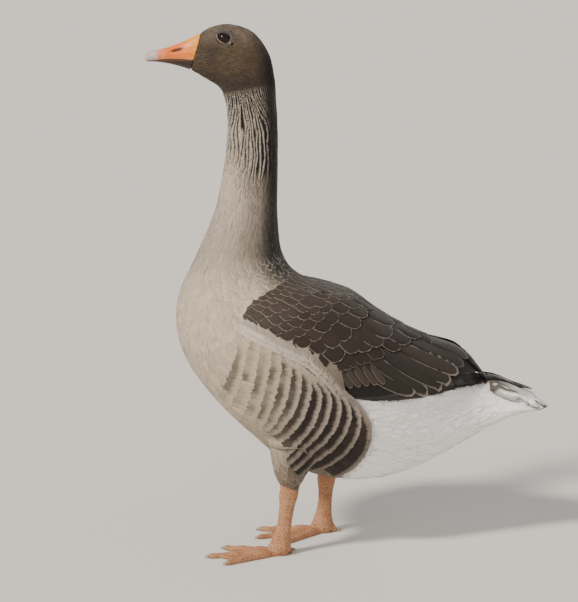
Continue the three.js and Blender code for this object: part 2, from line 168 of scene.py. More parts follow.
def three_each(items: bpy.types.bpy_prop_collection, name: str) -> Array:
    """A value of three numbers, such as "co", of each vertex or face, one row each."""
    flat = np.empty(len(items) * 3, np.float32)
    items.foreach_get(name, flat)
    return flat.reshape(-1, 3).astype(float)


def positions(piece: Piece) -> Array:
    """The places of an object's vertices, one row each."""
    return three_each(piece.data.vertices, "co")


def normals(piece: Piece) -> Array:
    """The normals of an object's vertices, one row each."""
    return three_each(piece.data.vertices, "normal")


def place_vertices(piece: Piece, places: Array) -> None:
    """Moves an object's vertices to new places."""
    piece.data.vertices.foreach_set("co", places.astype(np.float32).ravel())
    piece.data.update()


def copied(nodes: Iterable[str], name: str) -> Piece:
    """One object made of copies of CAD nodes, with their loose triangles merged.

    Args:
        nodes: names of CAD nodes.
        name: the new object's name.

    Returns:
        The new object. The nodes are not changed.
    """
    deselect()
    copies = []
    for node in nodes:
        twin = bpy.data.objects.new(name, frame["nodes"][node].data.copy())
        bpy.context.scene.collection.objects.link(twin)
        twin.select_set(True)
        copies.append(twin)
    bpy.context.view_layer.objects.active = copies[0]
    if len(copies) > 1:
        bpy.ops.object.join()
    whole = bpy.context.view_layer.objects.active
    whole.name = name
    whole.data.materials.clear()
    apply_modifier(whole, "WELD", merge_threshold=0.02 * MM)
    return whole


def fused(nodes: Iterable[str], name: str, grain: float, passes: int, grow: float = 0.0) -> Piece:
    """Copies of solids remeshed as one smooth closed surface.

    Args:
        nodes: names of CAD nodes.
        name: the new object's name.
        grain: the size of its faces, in millimetres.
        passes: how often it is smoothed.
        grow: how far the solids grow first, in millimetres, to close the gaps between them.

    Returns:
        The new object.
    """
    whole = copied(nodes, name)
    if grow:
        apply_modifier(whole, "DISPLACE", strength=grow * MM, mid_level=0.0)
    apply_modifier(whole, "REMESH", mode="VOXEL", voxel_size=grain * MM)
    apply_modifier(whole, "SMOOTH", factor=0.5, iterations=passes)
    return whole


def paint(piece: Piece, name: str, values: Array) -> None:
    """Stores a linear colour on each vertex of a piece.

    Args:
        piece: the object.
        name: the attribute's name.
        values: the colours, one row each, with an alpha of 1 where none is given.
    """
    if values.shape[1] == 3:
        values = np.column_stack([values, np.ones(len(values))])
    layer = piece.data.color_attributes.get(name)
    if layer is None:
        layer = piece.data.color_attributes.new(name, "FLOAT_COLOR", "POINT")
    layer.data.foreach_set("color", values.astype(np.float32).ravel())


def smooth_faces(piece: Piece) -> None:
    """Shades all faces of a piece smoothly."""
    piece.data.polygons.foreach_set("use_smooth", np.ones(len(piece.data.polygons), bool))
    piece.data.update()


def add_node(tree: bpy.types.NodeTree, kind: str, links: dict[str | int, object] | None = None,
             **settings: object) -> bpy.types.Node:
    """Adds one shader node.

    Args:
        tree: the node tree that gets it.
        kind: the node's type, without the leading "ShaderNode".
        links: for each input, by name or number, a value to set, or a socket or node to link. A node
            stands for its first output, and a colour mix for its colour.
        settings: the node's own properties.

    Returns:
        The new node.
    """
    node = tree.nodes.new("ShaderNode" + kind)
    for name, value in settings.items():
        setattr(node, name, value)
    for socket, source in (links or {}).items():
        if isinstance(source, bpy.types.Node):
            source = source.outputs[2 if source.type == "MIX" else 0]
        if isinstance(source, bpy.types.NodeSocket):
            tree.links.new(source, node.inputs[socket])
        else:
            node.inputs[socket].default_value = source
    return node


def new_material(name: str) -> tuple[Material, bpy.types.NodeTree, bpy.types.Node]:
    """A fresh material.

    Args:
        name: its name.

    Returns:
        The material, its tree and its Principled shader.
    """
    material = bpy.data.materials.new(name)
    material.use_nodes = True
    tree = material.node_tree
    return material, tree, tree.nodes["Principled BSDF"]


def cover(tree: bpy.types.NodeTree, shader: bpy.types.Node, colour: bpy.types.NodeSocket,
          relief: bpy.types.Node, strength: float, depth: float) -> None:
    """Links a colour and a relief to a shader.

    Args:
        tree: the material's tree.
        shader: its shader.
        colour: the socket that gives the colour.
        relief: the node that gives the height.
        strength: of the relief, from 0 to 1.
        depth: of the relief, in millimetres.
    """
    tree.links.new(colour, shader.inputs["Base Color"])
    if strength:
        bump = add_node(tree, "Bump", {"Height": relief, "Strength": strength, "Distance": depth * MM})
        tree.links.new(bump.outputs[0], shader.inputs["Normal"])


# ---- Where things are on the bird, in millimetres ----

# The lower edge of the folded wing in side view, as [x, z], from the bend of the wing to the rump.
WING_EDGE = np.array(
    [(-166, 352), (-128, 330), (-97, 312), (-68, 297), (-43, 273), (-28, 254), (-12, 236), (60, 228),
     (110, 230), (150, 235), (190, 236), (300, 232)], float)
# The upper front edge of the scapulars and coverts, from the bend of the wing to the back.
MANTLE_EDGE = np.array([(-166, 338), (-160, 355), (-147, 371), (-122, 385), (-95, 395), (-70, 412)], float)
# The free edge of the flank feathers, from the bend of the wing round to the thigh.
FLANK_EDGE = np.array(
    [(-170, 352), (-128, 330), (-97, 312), (-68, 297), (-43, 273), (-24, 252), (3, 219), (17, 196), (20, 176),
     (12, 146), (-6, 122), (-28, 104)], float)
FLANK_RISE = 6.5  # how far the free edge of the flank stands over what it covers
FLANK_FADE = 26.0  # how far in from that edge the rise dies away
WING_MARGIN = 3.0  # how far the dark of the wing runs on under its free edge
TUFT_MARGIN = 7.0  # how far below that edge the first white tufts are rooted
# The lower ends of the flank's rows in side view, from the breast round the thigh to the free edge.
FLANK_FOOT = np.array(
    [(-190, 221), (-138, 188), (-107, 166), (-94, 147), (-88, 132), (-45, 122), (20, 116)], float)
FLANK_FRONT = -148.0  # x where the rows come out from under the breast feathers
THIGH_TOP = (-88.0, 160.0)  # x and z where the flank runs over the top of the thigh
TAIL_TOP = 212.0  # the tail feathers lie above this height behind TAIL_ROOT
TAIL_ROOT = 200.0
TAIL_FALL = 0.1  # how far that height falls for each millimetre to the rear
WING_FRONT = -162.0  # x where the dark wings and back begin
WING_END = 197.0  # and where they end
NECK_HEIGHTS = (380, 437, 490, 550, 610, 660, 700)
NECK_MIDDLES = (-165, -157, -147, -140, -138, -145, -152)  # x of the neck's middle at each of those heights
COLLAR_HEIGHTS = (400, 440, 490, 550, 620, 700)
COLLAR_DEPTHS = (62, 52, 44, 40, 37, 45)  # from the neck's middle to the nape at each of those heights


def edge_distance(points: Array, edge: Array) -> Array:
    """Signed distance in side view from an open line.

    Args:
        points: positions in millimetres.
        edge: the line's points as [x, z], in order.

    Returns:
        Distances, above 0 to the right of the line's own direction, seen with +X to the right.
    """
    flat = points[:, [0, 2]]
    best = np.full(len(flat), 1e9)
    signed = np.zeros(len(flat))
    for start, end in zip(edge[:-1], edge[1:]):
        along = end - start
        share = np.clip((flat - start) @ along / (along @ along), 0, 1)
        offset = flat - (start + share[:, None] * along)
        distance = np.linalg.norm(offset, axis=1)
        turn = along[0] * offset[:, 1] - along[1] * offset[:, 0]
        closer = distance < best - 1e-6
        best = np.where(closer, distance, best)
        signed = np.where(closer, np.where(turn < 0, distance, -distance), signed)
    return signed


def neck_axis(z: Array) -> Array:
    """The x of the neck's middle at each height."""
    return np.interp(z, NECK_HEIGHTS, NECK_MIDDLES)


def nape_share(points: Array) -> Array:
    """From 0 at the front of the neck to 1 at its back."""
    across = np.interp(points[:, 2], COLLAR_HEIGHTS, COLLAR_DEPTHS)
    return np.clip(0.5 + 0.5 * (points[:, 0] - neck_axis(points[:, 2])) / across, 0, 1)


@dataclass(frozen=True)
class Furrows:
    """The furrowed neck: wavy ridges that fan out below the cheek and fade into the collar.

    Lengths are in millimetres.
    """

    pitch: float = 5.6  # from ridge to ridge
    radius: float = 32.0  # of the neck, for measuring round it
    top: float = 655.0  # at the middle of the neck's side
    top_rise: float = 0.2  # how much higher the furrows start for each millimetre to the rear
    fan_centre: float = 1.08  # radians round from the throat, where the ridges spring from
    fan_narrow: float = 0.58  # how close together they start
    fan_height: float = 58.0  # how far below the top they have their full pitch
    height: float = 1.5
    low: float = 566.0  # where they fade out at the throat
    low_fall: float = 30.0  # how much lower they fade out at the nape
    nape: Pair = (2.3, 2.75)  # radians round from the throat between which they end

    def crest(self, points: Array) -> tuple[Array, Array]:
        """How far each point is up a ridge, and how strong the furrows are there.

        Args:
            points: positions in millimetres.

        Returns:
            From -1 in a groove to 1 on a crest, and from 0 to 1.
        """
        x, y, z = points.T
        turn = np.arctan2(np.abs(y), neck_axis(z) - x)
        narrow = self.fan_narrow + (1 - self.fan_narrow) * smooth(self.top, self.top - self.fan_height, z)
        round_neck = self.fan_centre + (turn - self.fan_centre) / narrow
        arc = np.column_stack([round_neck * self.radius, np.sign(y) * 40, z * 0.36])
        wander = 0.72 * soft_noise(arc, 12, 21) + 0.4 * soft_noise(arc, 5.5, 22)
        crest = np.cos(2 * math.pi * (round_neck * self.radius / self.pitch + wander))
        low = self.low - self.low_fall * smooth(0.5, 1.5, turn) + 7 * soft_noise(points, 14, 23)
        strength = smooth(low - 26, low + 22, z) * smooth(6, -7, self.above_top(points))
        return crest, strength * smooth(self.nape[1], self.nape[0], turn)

    def above_top(self, points: Array) -> Array:
        """How far points lie above the line where the furrows start."""
        return points[:, 2] - self.top - (points[:, 0] + 165) * self.top_rise

    def relief(self, points: Array) -> Array:
        """How far the ridges stand over the skin."""
        crest, strength = self.crest(points)
        return self.height * strength * (0.5 + 0.5 * crest)

    def colour(self, points: Array, plain: Array) -> Array:
        """Marks the plain coat with dark grooves, partly painted shade in the furrows, and pale crests.

        Args:
            points: positions in millimetres.
            plain: the coat's colour at each of them.

        Returns:
            The colours with the furrows.
        """
        crest, strength = self.crest(points)
        nape = nape_share(points)
        # The grooves widen near the top, and with painted shade towards the nape.
        wide = -0.5 + 0.85 * np.maximum(smooth(590, 650, points[:, 2]), smooth(0.35, 0.75, nape))
        up = smooth(wide - 0.45, wide + 0.5, crest)
        # Painted shade: towards the nape the crests darken as well.
        pale = blend(Markings.CREST, Markings.NAPE_AND_SHADE, smooth(0.66, 0.84, nape))
        furrowed = blend(Markings.GROOVE_AND_SHADE, pale, up)
        return blend(plain, furrowed, strength)


class Region(Enum):
    """The tracts of the scattered coat, each its own piece, and BARE, where nothing is rooted."""

    HEAD = "head_coat"
    RIDGED = "neck_ridges"
    NECK = "neck_coat"
    BREAST = "breast_coat"
    BELLY = "belly_coat"
    WHITE = "vent_coat"
    BARE = "no_tufts"

    @property
    def number(self) -> int:
        """The tract's place in this list."""
        return list(Region).index(self)


def in_wing(points: Array, margin: float = WING_MARGIN) -> Array:
    """Which points lie under the folded wings and the mantle.

    Args:
        points: positions in millimetres.
        margin: how far below the wings' rear edge a point still counts.

    Returns:
        A yes or no for each point.
    """
    behind = edge_distance(points, MANTLE_EDGE) > 0
    over = edge_distance(points, WING_EDGE) < margin * smooth(-20, 30, points[:, 0])
    return behind & over & (points[:, 0] > WING_FRONT) & (points[:, 0] < WING_END)


def under_flank(points: Array) -> Array:
    """Which points lie under the rows of the barred flank, or just behind their free edge.

    Args:
        points: positions in millimetres.

    Returns:
        A yes or no for each point.
    """
    x, y, z = points.T
    above_foot = z > np.interp(x, *FLANK_FOOT.T)
    margin = np.where(x > -40, -4.0, 0.5)  # nothing is rooted close behind the free edge
    return (edge_distance(points, FLANK_EDGE) > margin) & above_foot & (x > FLANK_FRONT) & (np.abs(y) > 50)


def whiteness(points: Array) -> Array:
    """How white the coat is.

    Args:
        points: positions in millimetres.

    Returns:
        From 0 on the grey coat to 1 on the white belly, vent and tail coverts.
    """
    x, y, z = points.T
    flank = edge_distance(points, FLANK_EDGE)
    behind_flank = smooth(-0.2, 0.6, -flank) * (x > -30) * (z < 262)
    under = smooth(-34, -8, x) * (z < 150) * (np.abs(y) < 66)
    tail = (x > WING_END).astype(float)
    return np.clip(np.maximum.reduce([behind_flank, under, tail]), 0, 1)


class Markings:
    """The colours of the coat by place, shared by the skin and every tuft."""

    # Painted light: the crown is paler where the light falls on top of the head.
    LIT_CROWN = tone("64574a")
    CHEEK = tone("4f4131")
    # The dark lores, also used as painted shade under the head.
    LORE_AND_UNDER_SHADE = tone("3a3129")
    # Painted shade: the dark brown of the nape, darkened to near black as if the back of the neck and head
    # lay in shade.
    NAPE_AND_SHADE = tone("15110e")
    # The dark down between the ridges, partly painted shade in the furrows.
    GROOVE_AND_SHADE = tone("130f0c")
    CREST = tone("a89d8f")
    COLLAR = tone("b0a190")
    COLLAR_SIDE = tone("877b6e")
    BREAST = tone("b9a892")
    FLANK = tone("75675a")
    # Painted shade on the thigh, which lies under the body.
    THIGH_SHADE = tone("5a4a3b")
    WHITE = tone("f6f4f0")
    COVERT = tone("3a312b")

    def base(self, points: Array) -> Array:
        """The main colour of the coat at each point, in linear values.

        Args:
            points: positions in millimetres.

        Returns:
            One colour a row.
        """
        x, y, z = points.T
        nape = nape_share(points)
        collar = blend(self.COLLAR, self.COLLAR_SIDE, smooth(0.3, 0.62, nape))
        # Painted shade: the back of the neck runs to near black.
        collar = blend(collar, self.NAPE_AND_SHADE, smooth(0.6, 0.88, nape) * 0.9)
        head_share = smooth(-9, 4, FURROWS.above_top(points))
        colour = blend(FURROWS.colour(points, collar), self._head(points), head_share)
        colour = blend(self.BREAST, colour, smooth(385, 450, z + 0.8 * np.maximum(x + 150, 0)))
        colour = colour * (1 - 0.22 * np.exp(-(((z - 445) / 60) ** 2)))[:, None]
        flank = smooth(-200, -60, x) * smooth(395, 330, z)
        colour = blend(colour, self.FLANK, flank * 0.85)
        # Painted shade on the thigh below the body.
        colour = blend(colour, self.THIGH_SHADE, smooth(160, 126, z) * smooth(-132, -112, x) * 0.7)
        mottle = soft_noise(points, 16, 3) * 0.5 + soft_noise(points, 6, 4) * 0.5
        colour = colour * (1 + 0.09 * mottle)[:, None]
        colour = blend(colour, self.WHITE, whiteness(points))
        return blend(colour, self.COVERT, in_wing(points))

    def _head(self, points: Array) -> Array:
        """The head's linear colour: painted light on the crown, dark lores, painted shade below and on the
        nape.
        """
        x, _, z = points.T
        # Painted light on the crown and forehead.
        head = blend(self.CHEEK, self.LIT_CROWN, smooth(712, 742, z) * smooth(-122, -165, x))
        lore = np.exp(-(((x + 203) / 13) ** 2) - ((z - 708) / 15) ** 2)
        head = blend(head, self.LORE_AND_UNDER_SHADE, np.clip(lore, 0, 1) * 0.8)
        # Painted shade on the underside of the head.
        head = blend(head, self.LORE_AND_UNDER_SHADE, smooth(696, 668, z) * 0.85)
        head = head * (1 + 0.2 * soft_noise(points, 11, 31) + 0.12 * soft_noise(points, 4.5, 32))[:, None]
        # Painted shade on the back of the head.
        return blend(head, self.NAPE_AND_SHADE, smooth(0.58, 0.9, nape_share(points)) * smooth(742, 700, z))


FURROWS = Furrows()
MARKINGS = Markings()


# ---- The skin ----


@dataclass
class Skin:
    """The flesh of the whole bird as one closed surface, which lies inside the coat.

    Sizes are in millimetres.
    """

    fuse: float = 0.5  # closes the thin gaps between the solids
    body_grain: float = 2.4
    leg_grain: float = 1.4
    body_passes: int = 14
    leg_passes: int = 3
    flank_passes: int = 160
    flank_steps: int = 8  # of weight, from untouched to fully smoothed
    body_faces: int = 84000  # triangles kept under the coat
    depth_heights: tuple[float, ...] = (400, 470, 560, 640, 668, 690)
    depths: tuple[float, ...] = (3.2, 2.4, 3.4, 3.4, 1.3, 1.3)  # of the coat at each of those heights
    down_shade: float = 0.8  # the down is darker than the feathers over it
    thigh_tuck: float = 4.4  # how far the legs' upper ends are drawn in to hide in the body
    bill_root: Pair = (-210.0, 735.0)  # x and z of the upper end of the bill's root
    bill_lean: float = 0.3  # how far the root runs forward for each millimetre down
    thin_share: float = 0.3  # the largest share of a thin part that the coat may take
    piece: Piece = field(init=False)
    bed: "Drape" = field(init=False)  # under the coat
    outer: "Drape" = field(init=False)  # the coat's own height
    flesh: list[str] = field(init=False)

    def __post_init__(self) -> None:
        """Names the solids that the skin stands for."""
        bare = ("eye", "bill", "claw")
        self.flesh = [node for node in frame["nodes"] if not node.startswith(bare)]

    def build(self) -> Piece:
        """Fuses the solids, sets them in by the coat's depth and joins the legs on.

        Returns:
            The skin, which replaces the solids of flesh.
        """
        legs = ("foot", "shank", "thigh")
        trunk = [node for node in self.flesh if not node.startswith(legs[:2])]
        body = fused(trunk, "skin", self.body_grain, self.body_passes, self.fuse)
        self._ease_flank(body)
        self.outer = Drape(body)
        self._set_in(body)
        self.bed = Drape(body)
        triangles = 2 * len(body.data.polygons)
        apply_modifier(body, "DECIMATE", ratio=self.body_faces / triangles)
        limbs = [node for node in self.flesh if node.startswith(legs)]
        leg = fused(limbs, "legs", self.leg_grain, self.leg_passes, self.fuse)
        places = positions(leg) / MM
        tuck = self.thigh_tuck * smooth(96, 106, places[:, 2])
        places = places - normals(leg) * tuck[:, None]
        places[:, 2] = np.maximum(places[:, 2], 0)
        place_vertices(leg, places * MM)
        apply_modifier(body, "BOOLEAN", operation="UNION", solver="MANIFOLD", object=leg)
        bpy.data.objects.remove(leg)
        smooth_faces(body)
        self.piece = body
        return body

    def dress(self, down: Material, hide: Material) -> None:
        """Paints the markings and gives the bare legs their own finish.

        Args:
            down: the finish under the feathers.
            hide: the finish of the shanks and feet.
        """
        places = positions(self.piece) / MM
        paint(self.piece, "Tint", MARKINGS.base(places) * self.down_shade)
        self.piece.data.materials.clear()
        self.piece.data.materials.append(down)
        self.piece.data.materials.append(hide)
        polygons = self.piece.data.polygons
        bare = bare_leg(three_each(polygons, "center") / MM)
        polygons.foreach_set("material_index", bare.astype(np.int32))
        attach(self.piece, "root")
        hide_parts(*self.flesh)

    def _ease_flank(self, body: Piece) -> None:
        """Smooths the step below the wing and the top of the thigh, which the flank's feathers cover."""
        places = positions(body) / MM
        x, y, z = places.T
        below = edge_distance(places, WING_EDGE)
        share = smooth(0, 9, below) * smooth(46, 30, below) * (z > 215) * (np.abs(y) > 55)
        share *= smooth(-176, -160, x) * smooth(10, -8, x)
        from_thigh = np.hypot(x - THIGH_TOP[0], z - THIGH_TOP[1])
        share = np.maximum(share, smooth(32, 16, from_thigh) * (np.abs(y) > 45))
        group = body.vertex_groups.new(name="flank")
        steps = np.round(share * self.flank_steps)
        for step in range(1, self.flank_steps + 1):
            group.add(np.flatnonzero(steps == step).tolist(), step / self.flank_steps, "REPLACE")
        apply_modifier(body, "SMOOTH", factor=0.5, iterations=self.flank_passes, vertex_group="flank")

    def _set_in(self, body: Piece) -> None:
        """Moves the surface in by the coat's depth and raises the free edge of the flank."""
        places = positions(body) / MM
        outward = normals(body)
        x, y, z = places.T
        depth = np.interp(z, self.depth_heights, self.depths)
        tree = BVHTree.FromPolygons(places.tolist(), [tuple(p.vertices) for p in body.data.polygons])
        inner = places - outward * 0.05  # just inside, so that a ray doesn't hit its own face
        for index in np.flatnonzero((x > 90) | (x < -200)):
            thickness = tree.ray_cast(Vector(inner[index]), Vector(-outward[index]))[3]
            if thickness is not None:
                depth[index] = min(depth[index], self.thin_share * thickness)
        behind_bill = x - (self.bill_root[0] - (self.bill_root[1] - z) * self.bill_lean)
        depth *= smooth(-2, 9, behind_bill)
        inside = edge_distance(places, FLANK_EDGE)
        rise = FLANK_RISE * np.exp(-np.maximum(inside, 0) / FLANK_FADE) * smooth(-2.5, 1.5, inside)
        rise *= smooth(30, 60, np.abs(y)) * (x > -175)
        place_vertices(body, (places + outward * (rise - depth)[:, None]) * MM)


LEG_TOPS = {"left": (-105, 103), "right": (-32, 96)}  # x and z in front where the feathers end on each leg
LEG_SLANT = 0.35  # how far that end falls for each millimetre to the rear
LEG_MARGIN = 8.0  # how far round a shank's box points still belong to it
FOOT_TOP = 24.0  # all that is lower is bare


def bare_leg(points: Array) -> Array:
    """Which points lie on the bare shanks and feet.

    Args:
        points: positions in millimetres.

    Returns:
        A yes or no for each point.
    """
    x, y, z = points.T
    bare = np.zeros(len(points), bool)
    for side, (front, top) in LEG_TOPS.items():
        low, high = (np.array(corner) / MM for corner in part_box(f"shank_{side}"))
        near = (x > low[0] - LEG_MARGIN) & (x < high[0] + LEG_MARGIN)
        near &= (y > low[1] - LEG_MARGIN) & (y < high[1] + LEG_MARGIN)
        bare |= near & (z < top - LEG_SLANT * (x - front))
    return bare | (z < FOOT_TOP)


MISS_BACK = 120.0  # how far back a ray that misses looks for the nearest place


class Drape:
    """The surface that feathers are laid on, in millimetres."""

    def __init__(self, *pieces: Piece, onto: "Drape | None" = None) -> None:
        """Keeps the surface of some pieces as it is now.

        Args:
            pieces: the objects.
            onto: another such surface that is part of this one.
        """
        self.points = onto.points if onto else np.empty((0, 3))
        self.polygons = list(onto.polygons) if onto else []
        self.upright = onto.upright if onto else np.empty((0, 3))
        for piece in pieces:
            start = len(self.points)
            for polygon in piece.data.polygons:
                self.polygons.append(tuple(corner + start for corner in polygon.vertices))
            self.points = np.concatenate([self.points, positions(piece) / MM])
            self.upright = np.concatenate([self.upright, normals(piece)])
        self.tree = BVHTree.FromPolygons(self.points.tolist(), self.polygons)
        corners = np.array([(p[0], p[1], p[2], p[-1]) for p in self.polygons])
        self.outward = unit(self.upright[corners].mean(axis=1))
        self.triangles = np.concatenate([corners[:, [0, 1, 2]], corners[:, [0, 2, 3]]])

    def settle(self, points: Array) -> tuple[Array, Array]:
        """The nearest places on the surface.

        Args:
            points: positions, one row each.

        Returns:
            The places and the outward directions there.
        """
        places = np.empty_like(points)
        faces = np.empty(len(points), int)
        find = self.tree.find_nearest
        for index, point in enumerate(points.tolist()):
            place, _, face, _ = find(point)
            places[index] = place
            faces[index] = face
        return places, self.outward[faces]

    def cast(self, points: Array, direction: Array, back: float = 400.0) -> tuple[Array, Array]:
        """The first places hit from outside along one direction, or else the nearest ones.

        Args:
            points: positions on the rays, one row each.
            direction: the way the rays go.
            back: how far before the points the rays start.

        Returns:
            The places and the outward directions there.
        """
        places = np.empty_like(points)
        faces = np.empty(len(points), int)
        towards = Vector(direction)
        for index, point in enumerate(points):
            place, _, face, _ = self.tree.ray_cast(Vector(point - direction * back), towards)
            if place is None:
                place, _, face, _ = self.tree.find_nearest(Vector(point - direction * min(back, MISS_BACK)))
            places[index] = place
            faces[index] = face
        return places, self.outward[faces]

    def scatter(self, spacing: Callable[[Array], Array], seed: int, crowd: int = 5) -> tuple[Array, Array]:
        """Places spread over the surface, none closer together than their own spacing.

        Args:
            spacing: gives the least distance at each point, or 0 where none are wanted.
            seed: picks one of many layouts.
            crowd: how many are tried for each one kept.

        Returns:
            The places and the outward directions there.
        """
        random = np.random.default_rng(seed)
        a, b, c = (self.points[self.triangles[:, k]] for k in range(3))
        area = np.linalg.norm(np.cross(b - a, c - a), axis=1) / 2
        gap = spacing((a + b + c) / 3)
        share = np.where(gap > 0, area / np.maximum(gap, 0.1) ** 2, 0)
        tries = int(share.sum() * crowd)
        chosen = random.choice(len(share), tries, p=share / share.sum())
        u, v = random.random((2, tries, 1))
        u, v = np.where(u + v > 1, 1 - u, u), np.where(u + v > 1, 1 - v, v)
        tried = a[chosen] + u * (b - a)[chosen] + v * (c - a)[chosen]
        reach = gap[chosen]
        tree = KDTree(tries)
        for index, point in enumerate(tried.tolist()):
            tree.insert(point, index)
        tree.balance()
        alive = np.ones(tries, bool)
        for index in range(tries):
            if alive[index]:
                for _, other, _ in tree.find_range(tried[index], reach[index]):
                    if other > index:
                        alive[other] = False
        kept = tried[alive]
        return kept, self.outward[chosen[alive] % len(self.outward)]


# ---- Feather vanes ----


@dataclass(frozen=True)
class VaneShape:
    """The outline and mesh of one kind of vane: |across| ** side + along ** tip = 1."""

    tip: float = 3.0
    side: float = 2.0
    rows: int = 5
    columns: int = 3
    root: float = 0.6  # width at the root, as a share of the widest
    crown: float = 0.45  # thickness in the middle, in millimetres

    @property
    def upper(self) -> int:
        """How many vertices the upper side has. They come first."""
        return self.rows * self.columns + 1

    def template(self) -> tuple[Array, Array, Array, Array, list[tuple[int, ...]]]:
        """One vane flat in its own plane.

        Returns:
            Across (-1 to 1) and along (0 to 1) of each vertex, its height from 0 to 1, the vertex
            of the upper side that it lies on or under, and the faces, turned outwards.
        """
        rows, columns = self.rows, self.columns
        along = 1 - (1 - np.arange(rows) / rows) ** 1.5
        spread = np.linspace(-1, 1, columns)
        width = (1 - along**self.tip) ** (1 / self.side)
        width *= self.root + (1 - self.root) * smooth(0, 0.45, along)
        across = np.append((width[:, None] * spread).ravel(), 0.0)
        lengthwise = np.append(np.repeat(along, columns), 1.0)
        height = np.append(np.tile(1 - spread**2, rows), 0.0)
        middle = columns // 2
        tip = rows * columns
        under = np.arange(rows) * columns + middle
        across = np.append(across, across[under])
        lengthwise = np.append(lengthwise, lengthwise[under])
        height = np.append(height, np.zeros(rows))
        above = np.append(np.arange(tip + 1), under)
        faces: list[tuple[int, ...]] = []
        for row in range(rows - 1):
            start, ahead = row * columns, (row + 1) * columns
            below, beyond = tip + 1 + row, tip + 2 + row
            for column in range(columns - 1):
                faces.append((start + column, start + column + 1, ahead + column + 1, ahead + column))
            faces.append((start, ahead, beyond, below))
            faces.append((below, beyond, ahead + columns - 1, start + columns - 1))
        last = (rows - 1) * columns
        faces += [(last + column, last + column + 1, tip) for column in range(columns - 1)]
        faces += [(last, tip, tip + rows), (tip + rows, tip, last + columns - 1)]
        faces.append((*range(columns - 1, -1, -1), tip + 1))
        return across, lengthwise, height, above, faces


@dataclass
class Vanes:
    """Many vanes of one shape, one row of each array for each vane. Sizes are in millimetres."""

    root: Array
    lie: Array
    length: Array
    width: Array
    tint: Array
    rim: Array
    lift: Array
    slope: Array
    roll: Array


# The bird's long axis in side view, as [x, z], from the bill's root to the tail.
SPINE = np.array(
    [(-230, 712), (-165, 705), (-140, 640), (-142, 540), (-150, 450), (-120, 350), (-20, 240), (120, 205),
     (290, 196)], float)
UNWRAP_SHARE = 0.96  # how much of the unwrap's square the bird fills
PATCH = 0.003  # how wide a vane's patch is there


def unwrapped(points: Array) -> Array:
    """Where points of the skin lie on its unwrap, along the bird and round it.

    Args:
        points: positions in millimetres.

    Returns:
        Two values from 0 to 1 for each point.
    """
    steps = np.linalg.norm(np.diff(SPINE, axis=0), axis=1)
    before = np.concatenate([[0], np.cumsum(steps)])
    flat = points[:, [0, 2]]
    best = np.full(len(points), 1e9)
    along = np.zeros(len(points))
    height = np.zeros(len(points))
    for index, (start, end) in enumerate(zip(SPINE[:-1], SPINE[1:])):
        way = (end - start) / steps[index]
        share = np.clip((flat - start) @ way, 0, steps[index])
        offset = flat - (start + share[:, None] * way)
        distance = np.linalg.norm(offset, axis=1)
        closer = distance < best
        best = np.where(closer, distance, best)
        along = np.where(closer, before[index] + share, along)
        height = np.where(closer, offset @ np.array([-way[1], way[0]]), height)
    turn = np.arctan2(points[:, 1], height) / (2 * math.pi)
    edge = (1 - UNWRAP_SHARE) / 2
    return np.column_stack([edge + UNWRAP_SHARE * along / before[-1], 0.5 + UNWRAP_SHARE * turn])


def mesh_of_vanes(name: str, places: Array, shape: VaneShape, roots: Array, tints: Array,
                  rims: Array) -> Piece:
    """Joins vanes with known vertex places into one object.

    Args:
        name: the new object's name.
        places: vertex places in millimetres, one block for each vane.
        shape: the vanes' template.
        roots: where each vane is rooted.
        tints: each vane's linear colour.
        rims: the linear colour of each vane's rim, and how strong it is.

    Returns:
        The new object, with its UV maps and colours.
    """
    across, along, _, _, faces = shape.template()
    count, each = len(roots), len(across)
    corners = np.concatenate([np.array(face) for face in faces])
    sizes = np.array([len(face) for face in faces])
    starts = np.concatenate([[0], np.cumsum(sizes)[:-1]])
    mesh = bpy.data.meshes.new(name)
    mesh.vertices.add(count * each)
    mesh.vertices.foreach_set("co", (places * MM).astype(np.float32).ravel())
    mesh.loops.add(count * len(corners))
    mesh.polygons.add(count * len(sizes))
    order = (np.arange(count)[:, None] * each + corners).ravel()
    mesh.loops.foreach_set("vertex_index", order.astype(np.int32))
    first = (np.arange(count)[:, None] * len(corners) + starts).ravel()
    mesh.polygons.foreach_set("loop_start", first.astype(np.int32))
    mesh.update(calc_edges=True)
    piece = bpy.data.objects.new(name, mesh)
    bpy.context.scene.collection.objects.link(piece)
    s, t = np.tile(across[corners], count), np.tile(along[corners], count)
    centre = np.repeat(unwrapped(roots), len(corners), axis=0)
    patch = centre + PATCH * np.column_stack([s / 2, t - 0.5])
    for map_name, values in (("OFBake", patch), ("Vane", np.column_stack([s / 2 + 0.5, t]))):
        layer = mesh.uv_layers.new(name=map_name)
        layer.data.foreach_set("uv", values.astype(np.float32).ravel())
    paint(piece, "Tint", np.repeat(tints, each, axis=0))
    paint(piece, "Rim", np.repeat(rims, each, axis=0))
    smooth_faces(piece)
    return piece


def soften(piece: Piece, outward: Array, share: float) -> None:
    """Turns the shading of vanes towards the surface that they lie on.

    Args:
        piece: the vanes.
        outward: the way that each vertex should face.
        share: how far, from 0 to 1.
    """
    mixed = unit(normals(piece) * (1 - share) + outward * share)
    piece.data.normals_split_custom_set_from_vertices(mixed.tolist())


